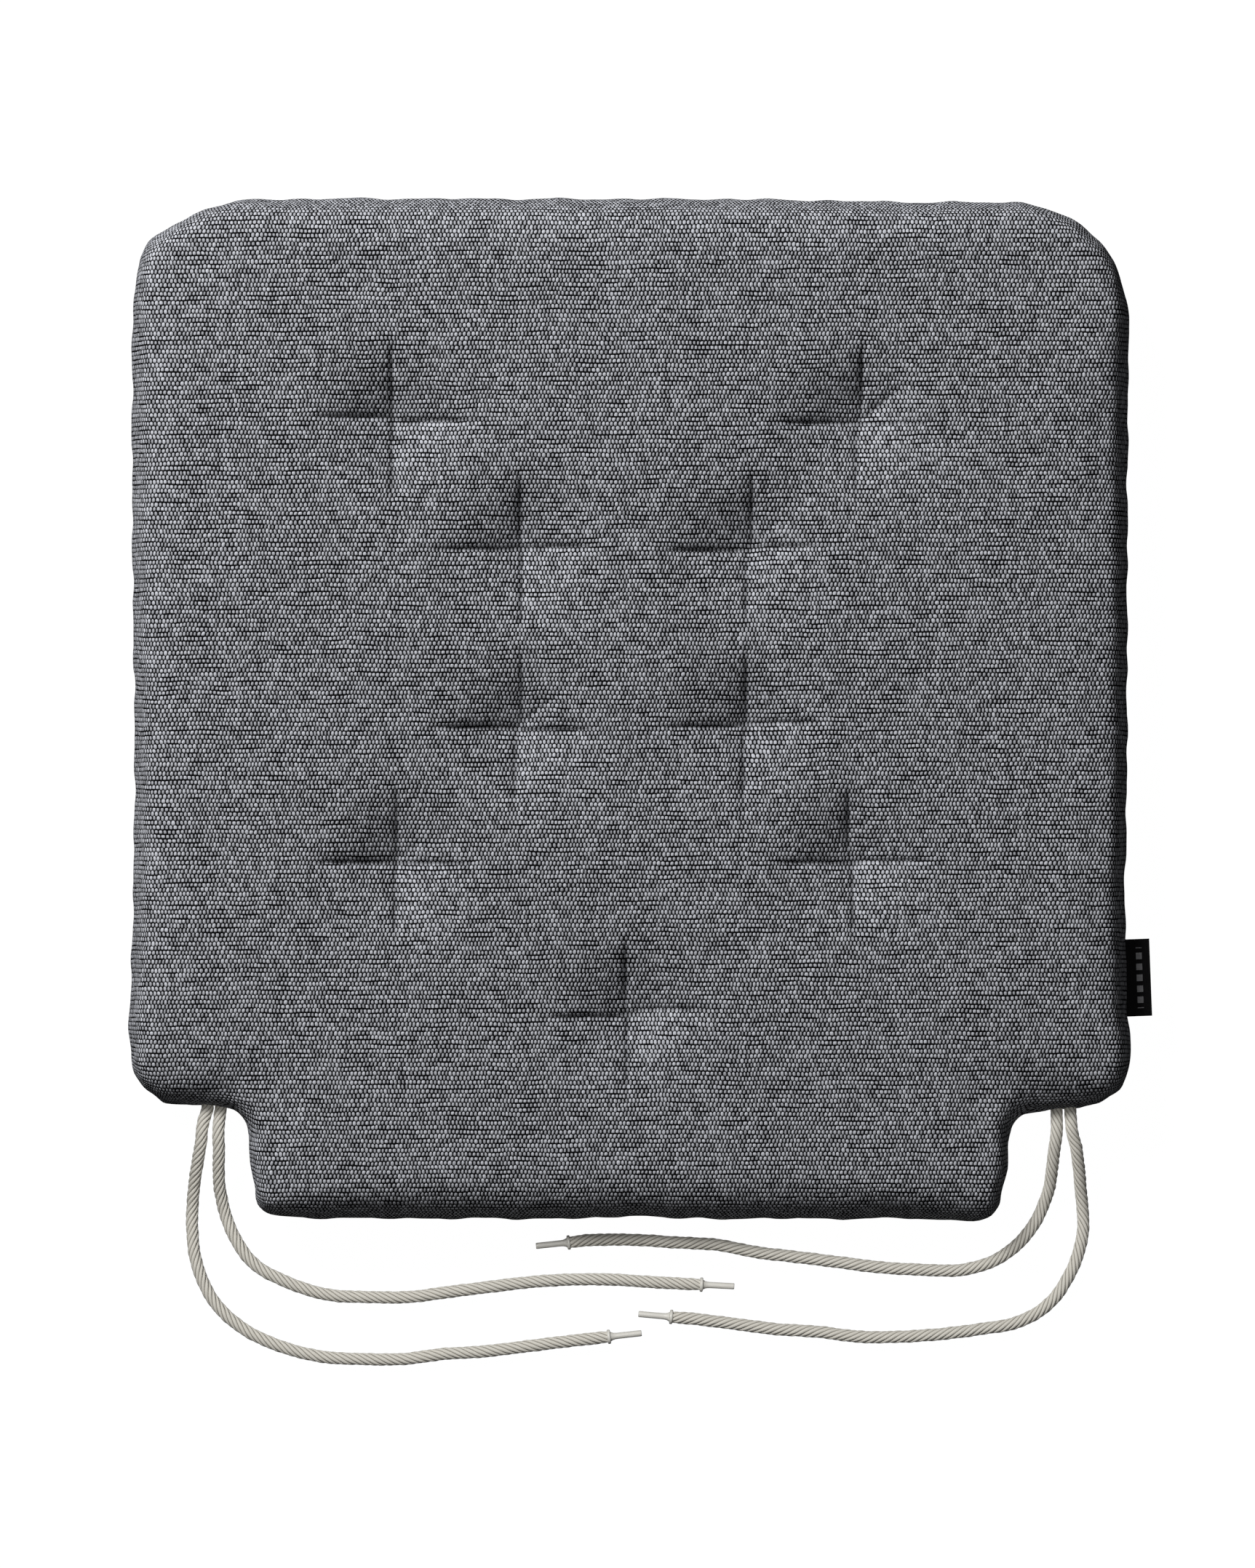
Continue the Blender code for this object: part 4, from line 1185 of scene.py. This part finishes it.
for number, (x, y) in enumerate(TUFTS, start=1):
    top = PAD_HEIGHT - TOP_HOLLOW + THREAD_LIFT + THREAD_RADIUS
    bottom = UNDER_HOLLOW - THREAD_LIFT - THREAD_RADIUS
    turn = 2 * THREAD_RADIUS
    half = TUFT_SPAN / 2
    middle = (top + bottom) / 2
    route = [(x + half, y, middle - LOOP_START), (x + half, y, top - turn)]
    for across, height, start in (
        (half - turn, top - turn, 0.0),
        (-half + turn, top - turn, 0.5),
        (-half + turn, bottom + turn, 1.0),
        (half - turn, bottom + turn, 1.5),
    ):
        for part in (0.0, 0.25, 0.5):
            angle = math.pi * (start + part)
            route.append((x + across + turn * math.cos(angle), y, height + turn * math.sin(angle)))
    route.append((x + half, y, middle - LOOP_END))
    line = smooth_line(route, THREAD_SPACING)
    stitch = twisted_cord(f"tuft_stitch_{number}", line, 1, number, THREAD_RADIUS, 2, THREAD_PITCH)
    stitch.data.materials.append(dark_thread)
    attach(stitch, "root")
    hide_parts(f"tuft_thread_{number}")

for name in ("seam_thread", "bar_tack_left", "bar_tack_right"):
    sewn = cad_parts[name]
    sewn.data.materials.clear()
    sewn.data.materials.append(dark_thread)


# Side label. A black woven ribbon folded in two, its tails caught in the seam, with a plain row of
# pale dashes woven down the middle of its face.
LABEL_Y = -0.1080
LABEL_WIDTH = 0.031
LABEL_REACH = 0.0093
LABEL_TAIL = 0.0041
LABEL_SINK = 0.00012
RIBBON = 0.0004
RIBBON_ROUNDING = 0.00012
FOLD_RADIUS = 0.0003
FOLD_STEPS = 8
LABEL_TILT = math.radians(2.2)
DASH_PITCH = 0.0044
DASH_SHARE = 0.3
DASH_HALF_WIDTH = 0.0012
DASHES_REACH = 0.0122

bpy.ops.object.select_all(action="DESELECT")
bpy.ops.mesh.primitive_plane_add(size=1.0, location=(0, 0, 0))
label = bpy.context.object
label.name = "woven_label"
leg = LABEL_REACH + LABEL_TAIL - FOLD_RADIUS
bpy.ops.object.mode_set(mode="EDIT")
bpy.ops.mesh.select_all(action="SELECT")
bpy.ops.transform.resize(value=(leg, LABEL_WIDTH, 1))
bpy.ops.mesh.select_all(action="DESELECT")
bpy.ops.object.mode_set(mode="OBJECT")
for edge in label.data.edges:
    edge.select = all(label.data.vertices[i].co.x > 0 for i in edge.vertices)
bpy.ops.object.mode_set(mode="EDIT")
bpy.ops.mesh.select_mode(type="EDGE")
bpy.ops.mesh.spin(steps=FOLD_STEPS, angle=-math.pi, center=(leg / 2, 0, FOLD_RADIUS), axis=(0, 1, 0))
bpy.ops.mesh.extrude_region_move(TRANSFORM_OT_translate={"value": (-leg, 0, 0)})
bpy.ops.mesh.select_all(action="SELECT")
bpy.ops.mesh.remove_doubles(threshold=0.00001)
bpy.ops.mesh.bisect(plane_co=(0, 0, 0), plane_no=(0, 1, 0))
bpy.ops.mesh.select_all(action="SELECT")
bpy.ops.mesh.subdivide(number_cuts=5)
bpy.ops.mesh.normals_make_consistent(inside=False)
bpy.ops.object.mode_set(mode="OBJECT")
thick = label.modifiers.new("thick", "SOLIDIFY")
thick.thickness = RIBBON
thick.offset = 0.0
bpy.ops.object.modifier_apply(modifier="thick")
soft = label.modifiers.new("soft", "BEVEL")
soft.width = RIBBON_ROUNDING
soft.segments = 2
soft.limit_method = "ANGLE"
soft.angle_limit = math.radians(50)
bpy.ops.object.modifier_apply(modifier="soft")
label.location = (
    PAD_WIDTH / 2 + LABEL_REACH - leg / 2 - FOLD_RADIUS - LABEL_SINK,
    LABEL_Y,
    SEAM_HEIGHT - FOLD_RADIUS,
)
label.rotation_euler = (0, 0, LABEL_TILT)
bpy.ops.object.transform_apply(location=True, rotation=True, scale=True)
bpy.ops.object.shade_smooth_by_angle(angle=math.radians(40))

label_ribbon, tree, shader = new_finish("label_ribbon", 0.7, **{"Specular IOR Level": 0.15})
place = wire(tree, "ShaderNodeTexCoord").outputs["Object"]
turned = wire(
    tree,
    "ShaderNodeMapping",
    {"Vector": place, "Location": (-PAD_WIDTH / 2 - LABEL_REACH * 0.5, -LABEL_Y, 0.0)},
)
spun = wire(
    tree,
    "ShaderNodeVectorRotate",
    {"Vector": turned.outputs[0], "Angle": -LABEL_TILT},
    rotation_type="Z_AXIS",
)
axes = wire(tree, "ShaderNodeSeparateXYZ", {0: spun.outputs[0]})
ribs, weft = (
    wire(
        tree,
        "ShaderNodeTexWave",
        {"Vector": spun.outputs[0], "Scale": scale, "Distortion": distortion},
        bands_direction=direction,
    )
    for scale, distortion, direction in ((900.0, 0.6, "Y"), (620.0, 0.4, "X"))
)
woven_face = sums(tree, "MULTIPLY", ribs.outputs["Fac"], weft.outputs["Fac"])
ground = blend_colour(tree, woven_face, (0.0006, 0.0006, 0.0008, 1), (0.005, 0.005, 0.006, 1))
repeat = sums(tree, "ADD", sums(tree, "DIVIDE", axes.outputs[1], DASH_PITCH), 20.5)
off_dash = sums(tree, "ABSOLUTE", sums(tree, "SUBTRACT", sums(tree, "FRACT", repeat), 0.5))
along_dash = sums(tree, "LESS_THAN", off_dash, DASH_SHARE)
on_line = sums(tree, "LESS_THAN", sums(tree, "ABSOLUTE", axes.outputs[0]), DASH_HALF_WIDTH)
in_field = sums(tree, "LESS_THAN", sums(tree, "ABSOLUTE", axes.outputs[1]), DASHES_REACH)
dash = sums(tree, "MULTIPLY", sums(tree, "MULTIPLY", along_dash, on_line), in_field)
pale = blend_colour(tree, ribs.outputs["Fac"], (0.10, 0.10, 0.105, 1), (0.30, 0.30, 0.31, 1))
colour = blend_colour(tree, dash, ground, pale)
relief = sums(tree, "MULTIPLY_ADD", dash, 0.5, woven_face)
feed(tree, shader, colour, relief, 0.00012)
label.data.materials.append(label_ribbon)
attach(label, "root")
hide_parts("side_label")
